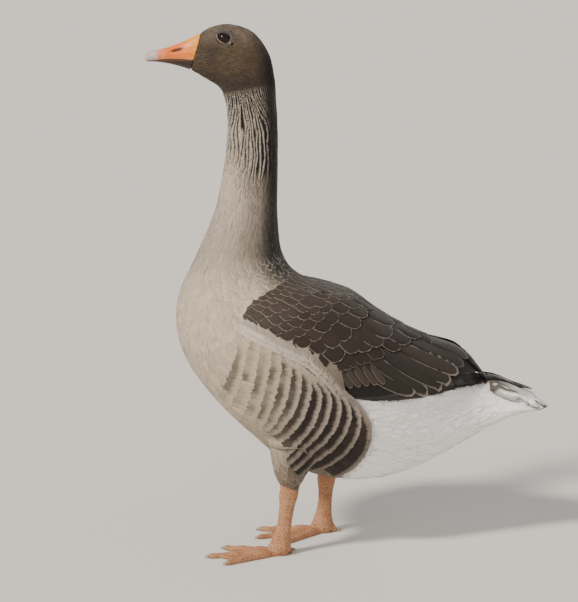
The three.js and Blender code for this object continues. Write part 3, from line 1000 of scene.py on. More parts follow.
def lay(name: str, bed: Drape, shape: VaneShape, vanes: Vanes, softness: float = 0.6,
        furrowed: bool = False) -> Piece:
    """Lays vanes on a surface, each tip over the roots behind it.

    Args:
        name: the new object's name.
        bed: the surface.
        shape: the vanes' template.
        vanes: where they are rooted, how they lie and their sizes.
        softness: how far their shading follows the surface.
        furrowed: whether they ride on the furrows of the neck and are coloured by them.

    Returns:
        The new object.
    """
    across, along, height, above, _ = shape.template()
    count, upper = len(vanes.root), shape.upper
    _, outward = bed.settle(vanes.root)
    lie = unit(vanes.lie - outward * (vanes.lie * outward).sum(axis=1, keepdims=True))
    sideways = np.cross(lie, outward)
    reach = along[:upper] * vanes.length[:, None]
    aside = across[:upper] * vanes.width[:, None] / 2
    flat = vanes.root[:, None] + lie[:, None] * reach[..., None] + sideways[:, None] * aside[..., None]
    places, up = bed.settle(flat.reshape(-1, 3))
    places = places.reshape(count, upper, 3)[:, above]
    up = up.reshape(count, upper, 3)[:, above]
    rise = vanes.lift[:, None] + vanes.slope[:, None] * along * vanes.length[:, None]
    rise = rise + vanes.roll[:, None] * across + shape.crown * height
    on_skin = places.reshape(-1, 3)
    if furrowed:
        rise = rise + FURROWS.relief(on_skin).reshape(rise.shape)
    places = places + up * rise[..., None]
    piece = mesh_of_vanes(name, places.reshape(-1, 3), shape, vanes.root, vanes.tint, vanes.rim)
    if furrowed:
        shade = vanes.tint.mean(axis=1) / MARKINGS.base(vanes.root).mean(axis=1)
        paint(piece, "Tint", MARKINGS.base(on_skin) * np.repeat(shade, len(across))[:, None])
    facing = np.where(np.arange(len(across)) < upper, 1.0, -1.0)
    soften(piece, (up * facing[:, None]).reshape(-1, 3), softness)
    return piece


# ---- The scattered coat ----

# How the coat lies: places on the bird's right side and the way the feathers point there.
LIE_GUIDES = np.array([
    (-222, 6, 736, 1, 0, 0.35), (-190, 5, 748, 1, 0, 0.05), (-160, 5, 746, 1, 0, -0.35),
    (-130, 8, 728, 0.55, 0, -1), (-112, 8, 690, 0.1, 0, -1), (-222, 14, 712, 1, 0.3, 0.1),
    (-200, 20, 715, 1, 0.2, 0), (-180, 22, 712, 1, 0.1, -0.15), (-150, 25, 705, 1, 0, -0.5),
    (-128, 22, 690, 0.45, 0, -1), (-205, 14, 690, 1, 0.2, -0.25), (-185, 8, 668, 1, 0, -0.6),
    (-175, 5, 645, 0.35, 0, -1), (-175, 0, 600, 0, 0, -1), (-105, 0, 600, 0, 0, -1),
    (-140, 30, 600, 0.03, 0, -1), (-190, 0, 500, -0.2, 0, -1), (-105, 0, 500, 0, 0, -1),
    (-150, 40, 500, -0.05, 0, -1), (-218, 0, 430, -0.3, 0, -1), (-95, 0, 430, 0.25, 0, -1),
    (-155, 58, 430, -0.1, 0, -1), (-60, 0, 385, 1, 0, -0.3), (-100, 40, 400, 0.8, 0.3, -0.7),
    (-140, 80, 390, 0.3, 0.4, -1), (-245, 0, 350, 0, 0, -1), (-235, 60, 340, 0.1, 0.1, -1),
    (-190, 100, 345, 0.35, 0.1, -1), (-165, 112, 330, 0.6, 0.1, -1), (-245, 0, 300, 0.25, 0, -1),
    (-225, 70, 290, 0.5, 0, -1), (-170, 115, 290, 0.8, 0, -0.7), (-100, 122, 270, 1, 0, -0.25),
    (-210, 0, 240, 0.8, 0, -0.9), (-190, 70, 235, 0.9, 0, -0.65), (-130, 110, 230, 1, 0, -0.25),
    (-50, 108, 225, 1, 0, -0.05), (-160, 0, 180, 1, 0, -0.7), (-130, 60, 165, 1, 0, -0.5),
    (-80, 95, 180, 1, 0, -0.3), (0, 90, 180, 1, 0, -0.1), (-100, 0, 125, 1, 0, -0.3),
    (-60, 50, 110, 1, 0, -0.2), (0, 0, 97, 1, 0, 0), (60, 0, 97, 1, 0, 0.1), (60, 60, 140, 1, 0, 0.1),
    (120, 0, 118, 1, 0, 0.35), (120, 45, 170, 1, 0, 0.25), (180, 30, 180, 1, 0, 0.25),
    (230, 0, 175, 1, 0, 0.35), (200, 25, 215, 1, 0, -0.15), (250, 20, 215, 1, 0, -0.3),
    (-98, 78, 122, 0.25, 0, -1), (-25, 78, 118, 0.2, 0, -1)], float)


GUIDE_BLUR = 60.0  # square millimetres, rounds the lie off close to a guide
GUIDE_PULL = 1.8  # how strongly the nearest guide outweighs the others


def lie_of_coat(points: Array) -> Array:
    """The way the feathers point, before it is laid along the surface.

    Args:
        points: positions in millimetres.

    Returns:
        One direction for each point.
    """
    mirrored = points * np.array([1, 0, 1]) + np.abs(points[:, 1:2]) * np.array([0, 1, 0])
    apart = ((mirrored[:, None] - LIE_GUIDES[None, :, :3]) ** 2).sum(axis=2)
    weight = 1 / (apart + GUIDE_BLUR) ** GUIDE_PULL
    way = weight @ LIE_GUIDES[:, 3:]
    way[:, 1] *= np.sign(points[:, 1] + 1e-6)
    return unit(way)


@dataclass(frozen=True)
class Style:
    """How the scattered vanes of one region are sized, in millimetres, and rimmed."""

    region: Region
    slot: str
    shape: VaneShape
    gap: float
    length: float
    width: float
    slope: float
    lift: float
    rim: str
    rim_share: float
    shade: float  # how much one vane's colour differs from the next
    stray: float  # how far a vane turns from its neighbours' lie


HEAD_VANE = VaneShape(2.2, 1.5, 4, 3, 0.5, 0.15)
RIDGE_VANE = VaneShape(1.8, 1.3, 4, 3, 0.5, 0.3)
NECK_VANE = VaneShape(2.2, 1.5, 4, 3, 0.6, 0.15)
BREAST_VANE = VaneShape(2.6, 1.7, 5, 3, 0.7, 0.15)
WHITE_VANE = VaneShape(2.3, 1.6, 5, 3, 0.6, 0.1)
STYLES = (
    Style(Region.HEAD, "head_plumage", HEAD_VANE, 2.3, 7.0, 3.4, 0.05, 0.1, "8a7f72", 0.05, 0.1, 0.12),
    Style(Region.RIDGED, "neck_plumage", RIDGE_VANE, 1.9, 8.5, 2.7, 0.05, 0.15, "c9c0b4", 0.0, 0.1, 0.14),
    Style(Region.NECK, "neck_plumage", NECK_VANE, 3.5, 13.0, 5.8, 0.034, 0.1, "c9c0b4", 0.1, 0.05, 0.08),
    Style(Region.BREAST, "breast_plumage", BREAST_VANE, 5.4, 19, 11, 0.036, 0.2, "d5cabb", 0.42, 0.07, 0.1),
    Style(Region.BELLY, "breast_plumage", BREAST_VANE, 5.6, 19, 11, 0.036, 0.2, "c4bbb0", 0.3, 0.06, 0.08),
    Style(Region.WHITE, "white_plumage", WHITE_VANE, 5.6, 26.0, 10.5, 0.03, 0.2, "fbfaf7", 0.1, 0.02, 0.09),
)
DARKEST, PALEST = 0.003, 0.95  # the range that a feather's linear colour stays in


def regions_of(points: Array) -> Array:
    """The tract that each point lies in.

    Args:
        points: positions in millimetres.

    Returns:
        The tracts' numbers.
    """
    x, _, z = points.T
    region = np.full(len(points), Region.BREAST.number)
    region[(z < 235) & (x > -190)] = Region.BELLY.number
    region[z < 165] = Region.BELLY.number
    region[z > 428 + 0.25 * (x + 150)] = Region.NECK.number
    region[FURROWS.above_top(points) > 3] = Region.HEAD.number
    region[whiteness(points) > 0.5] = Region.WHITE.number
    ridged = (FURROWS.crest(points)[1] > 0.04) & (region == Region.NECK.number)
    region[ridged] = Region.RIDGED.number
    tail_top = (x > TAIL_ROOT) & (z > TAIL_TOP - (x - TAIL_ROOT) * TAIL_FALL)
    region[in_wing(points, TUFT_MARGIN) | under_flank(points) | tail_top] = Region.BARE.number
    return region


@dataclass
class Coat:
    """The small feathers that are scattered over the skin."""

    bed: Drape
    eyes: list["Eye"]
    seed: int = 11
    lid_gap: float = 1.7  # how far apart the roots are round the eyes
    lid_zone: float = 16.0  # how far round an eye they are
    softness: float = 0.7  # how far the vanes' shading follows the skin
    ridge_softness: float = 0.35  # and on the furrowed neck
    pieces: list[Piece] = field(default_factory=list)

    def build(self) -> list[Piece]:
        """Scatters roots over the whole skin and lays each region's vanes.

        Returns:
            One piece for each region.
        """
        roots, outward = self.bed.scatter(self._gap, self.seed)
        region = regions_of(roots)
        lie = lie_of_coat(roots)
        for number, style in enumerate(STYLES):
            own = np.flatnonzero(region == style.region.number)
            vanes = self._vanes(style, roots[own], outward[own], lie[own], number)
            furrowed = style.region is Region.RIDGED
            softness = self.ridge_softness if furrowed else self.softness
            self.pieces.append(lay(style.region.value, self.bed, style.shape, vanes, softness, furrowed))
            log.info("%s: %d vanes", style.region.value, len(own))
        return self.pieces

    def dress(self, plumage: Material) -> None:
        """Gives every piece its finish."""
        for style, piece in zip(STYLES, self.pieces):
            piece.data.materials.append(plumage)
            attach(piece, "root")

    def _gap(self, points: Array) -> Array:
        """How far apart the roots are.

        Args:
            points: positions in millimetres.

        Returns:
            The distance at each point, or 0 where nothing is rooted.
        """
        region = regions_of(points)
        gap = np.zeros(len(points))
        for style in STYLES:
            gap = np.where(region == style.region.number, style.gap, gap)
        for eye in self.eyes:
            away = np.linalg.norm(points - eye.centre, axis=1)
            openness = eye.openness(points)
            gap = np.where((away < self.lid_zone) & (gap > 0), self.lid_gap, gap)
            gap = np.where(openness < 1.22, 0, gap)
            on_socket = (away > eye.radius + 0.8) & (away < eye.radius + 2.6) & (openness < 1.9)
            gap = np.where(on_socket, 0, gap)
        return gap

    def _vanes(self, style: Style, root: Array, outward: Array, lie: Array, number: int) -> Vanes:
        """Sizes and colours the vanes of one region.

        Args:
            style: the region's style.
            root: where the vanes are rooted.
            outward: the skin's direction there.
            lie: the way the coat lies there.
            number: picks the small differences between vanes.

        Returns:
            The vanes.
        """
        random = np.random.default_rng(self.seed + 100 + number)
        count = len(root)
        aside = np.cross(lie, outward)
        lie = unit(lie + aside * random.normal(0, style.stray, (count, 1)))
        size = 1 + random.normal(0, 0.1, count)
        tint = MARKINGS.base(root) * (1 + random.normal(0, style.shade, (count, 1)))
        rim = np.clip(style.rim_share + random.normal(0, 0.08, count), 0, 1)
        length, width = style.length * size, style.width * size
        for eye in self.eyes:
            close = np.linalg.norm(root - eye.centre, axis=1) < 18
            length, width = np.where(close, length * 0.55, length), np.where(close, width * 0.6, width)
            for _ in range(3):  # each time it is shortened where it would reach over the opening
                over = eye.openness(root + lie * length[:, None]) < 1.12
                length = np.where(over, length * 0.6, length)
        return Vanes(
            root=root,
            lie=lie,
            length=length,
            width=width,
            tint=np.clip(tint, DARKEST, PALEST),
            rim=np.column_stack([np.tile(tone(style.rim), (count, 1)), rim]),
            lift=np.full(count, style.lift) + random.uniform(0, 0.15, count),
            slope=style.slope * (1 + random.normal(0, 0.12, count)),
            roll=random.uniform(-0.3, 0.3, count),
        )


# ---- Finishes ----


@dataclass(frozen=True)
class Plumage:
    """Contour feathers: matt keratin barbs that scatter light and shine a little along the vane."""

    name: str
    tip: float = 2.6  # the vane's outline, as in VaneShape
    side: float = 1.9
    fringe: Pair = (0.62, 0.9)  # where the pale rim begins and is full
    fringe_by_tip: bool = False  # the rim is a bar across the tip, and leaves the sides dark
    barbs: float = 16.0  # barb bundles along a vane, coarser than the real ones so that they show
    slant: float = 0.5  # how far a barb runs to the tip, as a share of the vane, for its half width
    waver: float = 7.0  # radians that the bundles wander
    grain: float = 3.846  # width of a patch of that wandering, in millimetres
    roughness: float = 0.72
    sheen: float = 0.06
    bump: float = 0.25

    def build(self) -> Material:
        """Makes the material from the vane's own map and its painted colours."""
        material, tree, shader = new_material(self.name)
        shader.inputs["Roughness"].default_value = self.roughness
        shader.inputs["Sheen Weight"].default_value = self.sheen
        shader.inputs["Sheen Roughness"].default_value = 0.5
        shader.inputs["Specular IOR Level"].default_value = 0.2
        vane = add_node(tree, "UVMap", uv_map="Vane")
        split = add_node(tree, "SeparateXYZ", {0: vane})
        across = add_node(tree, "Math", {0: split, 1: 2.0, 2: -1.0}, operation="MULTIPLY_ADD")
        aside = add_node(tree, "Math", {0: across}, operation="ABSOLUTE")
        outline = split.outputs[1]
        if not self.fringe_by_tip:
            wide = add_node(tree, "Math", {0: aside, 1: self.side}, operation="POWER")
            far = add_node(tree, "Math", {0: split.outputs[1], 1: self.tip}, operation="POWER")
            outline = add_node(tree, "Math", {0: wide, 1: far}, operation="ADD")
        fringe = add_node(tree, "MapRange", {0: outline, 1: self.fringe[0], 2: self.fringe[1]},
                          interpolation_type="SMOOTHSTEP")
        tint = add_node(tree, "Attribute", attribute_name="Tint")
        rim = add_node(tree, "Attribute", attribute_name="Rim")
        edge = add_node(tree, "Math", {0: fringe, 1: rim.outputs["Alpha"]}, operation="MULTIPLY")
        rimmed = add_node(tree, "Mix", {0: edge, 6: tint, 7: rim}, data_type="RGBA")
        slant = add_node(tree, "Math", {0: aside, 1: -self.slant, 2: split.outputs[1]},
                         operation="MULTIPLY_ADD")
        turns = add_node(tree, "Math", {0: slant, 1: self.barbs * 2 * math.pi}, operation="MULTIPLY")
        place = add_node(tree, "TexCoord")
        grain = add_node(tree, "TexNoise", {
            "Vector": place.outputs["Object"], "Scale": 1 / (self.grain * MM), "Detail": 3.0})
        turned = add_node(tree, "Math", {0: grain, 1: self.waver, 2: turns}, operation="MULTIPLY_ADD")
        barb = add_node(tree, "Math", {0: turned}, operation="SINE")
        shade = add_node(tree, "MapRange", {0: barb, 1: -1.0, 2: 1.0, 3: 0.88, 4: 1.08})
        mottle = add_node(tree, "MapRange", {0: grain, 1: 0.3, 2: 0.7, 3: 0.92, 4: 1.06})
        shaded = add_node(tree, "Math", {0: shade, 1: mottle}, operation="MULTIPLY")
        colour = add_node(tree, "VectorMath", {0: rimmed, "Scale": shaded}, operation="SCALE")
        cover(tree, shader, colour.outputs[0], barb, self.bump, 0.15)
        return material


@dataclass(frozen=True)
class Painted:
    """A finish that shows a piece's painted colours under a fine mottling."""

    name: str
    roughness: float
    patch: float  # width of a patch of the mottling, in millimetres
    detail: float
    shades: Pair  # the darkest and the palest share of the painted colour
    span: Pair = (0.3, 0.7)  # the values of the noise that give them
    strength: float = 0.0  # of the mottling's relief, which is left out at 0
    depth: float = 0.0  # of that relief, in millimetres
    sockets: tuple[tuple[str, float], ...] = ()  # the shader's other settings

    def build(self) -> Material:
        """Makes the material."""
        material, tree, shader = new_material(self.name)
        for socket, value in (("Roughness", self.roughness), *self.sockets):
            shader.inputs[socket].default_value = value
        tint = add_node(tree, "Attribute", attribute_name="Tint")
        place = add_node(tree, "TexCoord")
        patch = add_node(tree, "TexNoise", {
            "Vector": place.outputs["Object"], "Scale": 1 / (self.patch * MM), "Detail": self.detail})
        share = add_node(tree, "MapRange", {
            0: patch, 1: self.span[0], 2: self.span[1], 3: self.shades[0], 4: self.shades[1]})
        colour = add_node(tree, "VectorMath", {0: tint, "Scale": share}, operation="SCALE")
        cover(tree, shader, colour.outputs[0], patch, self.strength, self.depth)
        return material


# The short matt down on the skin, seen only between the feathers.
DOWN = Painted("grey_down", 0.9, 2.381, 4.0, (0.75, 1.1), strength=0.4, depth=0.4)
HORN_FLESH = (("Coat Roughness", 0.25), ("Subsurface Weight", 0.12), ("Subsurface Scale", 1.5 * MM))
# Bill horn: waxy keratin over flesh, softly glossy.
BILL_HORN = Painted("bill_horn", 0.5, 5.0, 5.0, (0.84, 1.12), strength=0.2, depth=0.3,
                    sockets=(("Coat Weight", 0.08), *HORN_FLESH))
# The bare wrinkled skin of the lids: matt, with a little light passing through it.
LID_SKIN = Painted("lid_skin", 0.6, 1.6, 5.0, (0.84, 1.12), strength=0.2, depth=0.3,
                   sockets=(("Coat Weight", 0.0), *HORN_FLESH))
# A living eye: a clear wet cornea over a dark iris with fine rays.
WET_EYE = Painted("wet_eye", 0.12, 1.111, 2.0, (0.7, 1.4), span=(0.0, 1.0), sockets=(
    ("IOR", 1.38), ("Specular IOR Level", 0.25), ("Coat Weight", 0.3), ("Coat Roughness", 0.02)))


@dataclass(frozen=True)
class Hide:
    """The bare leg: leathery skin in small round scales, dull orange in paler and deeper patches."""

    name: str = "scaled_leg_skin"
    colour: str = "b5733f"
    crease: str = "7c4a2e"
    pale: str = "dcae84"
    scale: float = 1.9  # width of one scale in millimetres
    patch: float = 14.286  # width of a patch of colour, in millimetres
    roughness: float = 0.52

    def build(self) -> Material:
        """Makes the material, with the scales as colour and relief."""
        material, tree, shader = new_material(self.name)
        shader.inputs["Roughness"].default_value = self.roughness
        place = add_node(tree, "TexCoord")
        cells = add_node(tree, "TexVoronoi", {
            "Vector": place.outputs["Object"], "Scale": 1 / (self.scale * MM)}, feature="DISTANCE_TO_EDGE")
        rise = add_node(tree, "MapRange", {0: cells, 1: 0.0, 2: 0.22}, interpolation_type="SMOOTHSTEP")
        patches = add_node(tree, "TexNoise", {
            "Vector": place.outputs["Object"], "Scale": 1 / (self.patch * MM), "Detail": 4.0})
        mixed = add_node(tree, "Mix", {0: patches, 6: linear(self.colour), 7: linear(self.pale)},
                         data_type="RGBA")
        colour = add_node(tree, "Mix", {0: rise, 6: linear(self.crease), 7: mixed}, data_type="RGBA")
        cover(tree, shader, colour.outputs[2], rise, 0.55, 0.5)
        return material


# ---- Floor, light and camera ----


@dataclass
class Studio:
    """A plain pale floor, soft studio light and the camera."""

    camera_place: tuple[float, float, float] = (-0.40076, -3.58630, 1.02)
    camera_aim: tuple[float, float, float] = (-0.087, 0.0, 0.355)
    lens: float = 154.17
    sensor: float = 36.0
    floor_half: float = 30.0
    floor_drop: float = 0.0002  # keeps the floor just clear of the soles
    light_aim: tuple[float, float, float] = (-0.08, 0.0, 0.35)
    surround: float = 0.64

    def build(self) -> None:
        """Adds the floor, the lights and the camera."""
        self._floor()
        self._lights()
        deselect()
        bpy.ops.object.camera_add(location=self.camera_place)
        camera = bpy.context.object
        camera.name = "camera"
        aim = Vector(self.camera_aim) - Vector(self.camera_place)
        camera.rotation_euler = aim.to_track_quat("-Z", "Y").to_euler()
        camera.data.lens = self.lens
        camera.data.sensor_width = self.sensor
        camera.data.clip_end = 200.0
        bpy.context.scene.camera = camera

    def _floor(self) -> None:
        """A wide pale floor."""
        deselect()
        bpy.ops.mesh.primitive_plane_add(size=2 * self.floor_half, location=(0, 0, -self.floor_drop))
        floor = bpy.context.object
        floor.name = "studio_floor"
        material, _, shader = new_material("pale_floor")
        shader.inputs["Base Color"].default_value = linear("d8d4cc")
        shader.inputs["Roughness"].default_value = 0.85
        floor.data.materials.append(material)

    def _lights(self) -> None:
        """A soft key from the front left, a weak wide fill and a pale surround."""
        lights = (
            ("key", (-2.9, -2.0, 3.6), 9.0, 3.8, (1.0, 0.94, 0.86)),
            ("fill", (-1.0, -3.2, 1.0), 60.0, 0.8, (1.0, 0.97, 0.93)),
        )
        for name, place, width, strength, colour in lights:
            deselect()
            bpy.ops.object.light_add(type="SUN", location=place)
            light = bpy.context.object
            light.name = name
            light.data.angle = math.radians(width)
            light.data.energy = strength
            light.data.color = colour
            aim = Vector(self.light_aim) - Vector(place)
            light.rotation_euler = aim.to_track_quat("-Z", "Y").to_euler()
        world = bpy.data.worlds.new("studio_surround")
        bpy.context.scene.world = world
        world.use_nodes = True
        back = world.node_tree.nodes["Background"]
        back.inputs["Color"].default_value = (0.94, 0.94, 0.96, 1.0)
        back.inputs["Strength"].default_value = self.surround


# ---- Feathers in rows ----


@dataclass(frozen=True)
class Sight:
    """A slanted side view in which rows are laid out: x, and w up across the view.

    Lengths are in millimetres.
    """

    angle: float  # degrees, positive where the view looks down on the bird
    side: float  # -1 for the left side, +1 for the right

    @property
    def way(self) -> Array:
        """The direction in which the view looks."""
        turn = math.radians(self.angle)
        return np.array([0.0, -self.side * math.cos(turn), -math.sin(turn)])

    @property
    def up(self) -> Array:
        """The direction in which w grows."""
        turn = math.radians(self.angle)
        return np.array([0.0, -self.side * math.sin(turn), math.cos(turn)])

    def place(self, flat: Array) -> Array:
        """The places in space of (x, w) pairs on the view's own plane."""
        return flat[..., :1] * np.array([1.0, 0, 0]) + flat[..., 1:2] * self.up


@dataclass
class Row:
    """Feathers side by side with their tips on one line, in a slanted side view.

    Sizes are in millimetres. The colours are linear, one row for each feather.
    """

    tips: Array  # (x, w) of each tip
    ways: Array  # (x, w) direction of each feather
    length: float
    width: float
    tint: Array
    rim: Array
    rim_share: float
    lift: float = 0.3
    slope: float = 0.055
    roll: float = 0.35
    stray: float | Array = 0.6  # how far a tip lies from the row's line
    uneven: float = 0.3  # how much higher than the next one a feather may lie


def spaced(line: Array, pitch: float) -> tuple[Array, Array]:
    """Even steps along a bent line.

    Args:
        line: its points as (x, w).
        pitch: the wanted step.

    Returns:
        The places and the directions of the line there.
    """
    lengths = np.linalg.norm(np.diff(line, axis=0), axis=1)
    before = np.concatenate([[0], np.cumsum(lengths)])
    at = np.linspace(0, before[-1], max(2, round(before[-1] / pitch)) + 1)
    places = np.column_stack([np.interp(at, before, line[:, k]) for k in range(2)])
    return places, unit(np.gradient(places, axis=0))


WAY_SPREAD = 0.035  # how far the feathers of a row differ in their way,
SIZE_SPREAD = 0.06  # in size,
SHADE_SPREAD = 0.07  # in colour
RIM_SPREAD = 0.06  # and in the strength of their rims


def lay_rows(name: str, bed: Drape, shape: VaneShape, rows: list[Row], angle: float, seed: int,
             softness: float = 0.45, tuck: Callable[[Array], Array] | None = None) -> Piece:
    """Lays the same rows on both sides of the bird.

    Args:
        name: the new object's name.
        bed: the surface.
        shape: the feathers' template.
        rows: the rows, front ones first.
        angle: the slant of the view in degrees.
        seed: picks the small differences between feathers.
        softness: how far the feathers' shading follows the surface.
        tuck: how far the feathers sink under the coat at each place, in millimetres.

    Returns:
        The new object.
    """
    across, along, height, above, _ = shape.template()
    upper = shape.upper
    blocks, ups, parts = [], [], []
    for side in SIDES.values():
        sight = Sight(angle, side)
        abreast = -side * across  # mirrored on the right, so that faces point outwards on both sides
        random = np.random.default_rng(seed)
        for row in rows:
            count = len(row.tips)
            way = unit(row.ways + random.normal(0, WAY_SPREAD, row.ways.shape))
            size = (1 + random.normal(0, SIZE_SPREAD, count))[:, None, None]
            tips = row.tips + random.normal(0, 1, (count, 2)) * np.reshape(row.stray, (-1, 1))
            beside = np.column_stack([way[:, 1], -way[:, 0]])
            back = (along[:upper, None] - 1) * row.length * size
            aside = abreast[:upper, None] * row.width / 2 * size
            flat = tips[:, None] + way[:, None] * back + beside[:, None] * aside
            places, up = bed.cast(sight.place(flat).reshape(-1, 3), sight.way)
            places = places.reshape(count, upper, 3)[:, above]
            up = up.reshape(count, upper, 3)[:, above]
            rise = row.lift + row.slope * along * row.length + row.roll * abreast + shape.crown * height
            rise = rise + random.uniform(0, row.uneven, (count, 1))
            if tuck:
                rise = rise - tuck(places.reshape(-1, 3)).reshape(rise.shape)
            blocks.append(places + up * rise[..., None])
            ups.append(up * np.where(np.arange(len(across)) < upper, 1.0, -1.0)[:, None])
            tint = np.clip(row.tint * (1 + random.normal(0, SHADE_SPREAD, (count, 1))), DARKEST, PALEST)
            strength = np.clip(row.rim_share + random.normal(0, RIM_SPREAD, count), 0, 1)
            parts.append((places[:, shape.columns // 2], tint, np.column_stack([row.rim, strength])))
    roots, tints, rims = map(np.concatenate, zip(*parts))
    piece = mesh_of_vanes(name, np.concatenate(blocks).reshape(-1, 3), shape, roots, tints, rims)
    soften(piece, np.concatenate(ups).reshape(-1, 3), softness)
    return piece


@dataclass
class Flank:
    """The barred flank: curved rows of dark feathers with pale tips, ending in a free edge.

    Each row's line is x = at + lean * below - bow * height ** 2, seen in the slanted view.
    """

    bed: Drape
    angle: float = -15.0
    first: float = -164.0  # x of the foremost row where it is widest
    last: float = 20.0
    gap: float = 14.2
    lengths: Pair = (58.0, 35.0)  # of the foremost and the hindmost feathers
    width: float = 8.5
    pitch: float = 3.4
    fade: float = 34.0  # how far above its lower end a front row is at full strength
    band_length: float = 30.0
    band_width: float = 7.5
    band_pitch: float = 3.0
    band_drops: Pair = (7.0, 0.5)  # of its two rows of tips below EDGE, the lower row first
    sink: float = 3.6  # how far the rows lie under the breast feathers at their ends
    softness: float = 0.85
    seed: int = 21
    vane: VaneShape = VaneShape(8.0, 3.0, 8, 3, 0.8, 0.1)

    # At each of these x, the height where a row is widest and its lean, bows and ends.
    AT = (-164, -149, -117, -98, -78, -65, -50, -34, -21, 3, 20)
    WIDEST = (358, 340, 312, 300, 290, 280, 262, 254, 245, 225, 197)
    LEAN = (0.3, 0.19, 0.16, 0.08, 0, 0, 0, 0, 0, 0, 0)
    BOW_LOW = (0, 0, 0, 0.0018, 0.0036, 0.0040, 0.0048, 0.0057, 0.0062, 0.0072, 0.0074)
    BOW_HIGH = (0, 0, 0, 0.002, 0.008, 0.012, 0.014, 0.013, 0.012, 0.011, 0.0072)
    TOP = (358, 356, 344, 340, 335, 327, 318, 309, 298, 282, 300)
    LOW = (232, 216, 203, 198, 192, 178, 163, 154, 145, 126, 122)
    # The lower edge of the wing as (x, w), which the pale feathers follow.
    EDGE = ((-164, 361), (-130, 348), (-97, 333), (-70, 319), (-52, 303), (-36, 286), (-24, 270))

    def build(self) -> Piece:
        """Lays the rows from the front to the free edge, then the pale band over their upper ends."""
        steps = round((self.last - self.first) / self.gap)
        rows = [self._row(at) for at in np.linspace(self.first, self.last, steps + 1)]
        rows += [self._band(drop) for drop in self.band_drops]
        return lay_rows("flank_feathers", self.bed, self.vane, rows, self.angle, self.seed, self.softness,
                        self._tuck)

    def _tuck(self, places: Array) -> Array:
        """How far the rows sink under the breast feathers at their front and at their lower ends.

        Args:
            places: positions in millimetres.

        Returns:
            The depth at each of them.
        """
        x, _, z = places.T
        front = smooth(-150, -172, x - 0.3 * (z - 340))
        foot = smooth(12, -6, z - np.interp(x, *FLANK_FOOT.T)) * smooth(-92, -104, x)
        return self.sink * np.maximum(front, foot)

    def _row(self, at: float) -> Row:
        """One row, whose line bows to the rear.

        Args:
            at: x of the row where it is widest.

        Returns:
            The row, with dark streaks that grow stronger to the rear.
        """
        widest, lean, bow_low, bow_high, top, low = (
            float(np.interp(at, self.AT, values))
            for values in (self.WIDEST, self.LEAN, self.BOW_LOW, self.BOW_HIGH, self.TOP, self.LOW))
        heights = np.linspace(low, top, 40) - widest
        bow = np.where(heights < 0, bow_low, bow_high)
        line = np.column_stack([at + lean * np.minimum(heights, 0) - bow * heights**2, heights + widest])
        tips, run = spaced(line, self.pitch)
        ways = np.column_stack([run[:, 1], -run[:, 0]])
        dark = smooth(-165, -50, tips[:, 0] - 0.3 * (tips[:, 1] - 235))
        fine = soft_noise(np.column_stack([tips, np.zeros(len(tips))]), 12, 41)
        faint = 1 - dark
        end = smooth(2, self.fade, tips[:, 1] - low)
        dark = np.clip(dark * (1 + 0.25 * fine), 0, 1)
        pale = blend(MARKINGS.BREAST * 1.04, tone("a3978a"), dark)
        # Painted shade: the pale tips darken low on the flank, which faces away from the light.
        pale = pale * (1 - 0.5 * smooth(250, 160, tips[:, 1]) * dark)[:, None]
        tint = blend(MARKINGS.BREAST * 0.34, tone("261e18"), dark**0.7)
        streak = np.clip(1 - faint * (1 - end) - 0.8 * faint * smooth(-0.5, 0.6, fine), 0, 1)
        tint = blend(pale, tint, streak)
        length = float(np.interp(at, [self.first, self.last], self.lengths))
        stray = 0.9 - 0.4 * dark
        return Row(tips, unit(ways), length, self.width, tint, pale, rim_share=0.92, lift=1.0,
                   slope=1.5 / length, roll=0.05, stray=stray, uneven=0.1)

    def _band(self, drop: float) -> Row:
        """A row of the pale feathers that fold over the wing's lower edge.

        Args:
            drop: how far the tips lie below EDGE.

        Returns:
            The row.
        """
        tips, run = spaced(np.array(self.EDGE, float), self.band_pitch)
        tips = tips - np.column_stack([-run[:, 1], run[:, 0]]) * drop
        droop = np.linspace(0.1, 0.5, len(tips))[:, None] * np.column_stack([run[:, 1], -run[:, 0]])
        shade = np.linspace(0, 1, len(tips)) ** 1.5
        tint = blend(tone("a79b8c"), tone("74685b"), shade)
        rim = blend(tone("c9beb0"), tone("aea294"), shade)
        return Row(tips, unit(run + droop), self.band_length, self.band_width, tint, rim, rim_share=0.8,
                   lift=2.2, slope=0.03, roll=0.05, stray=0.5, uneven=0.1)


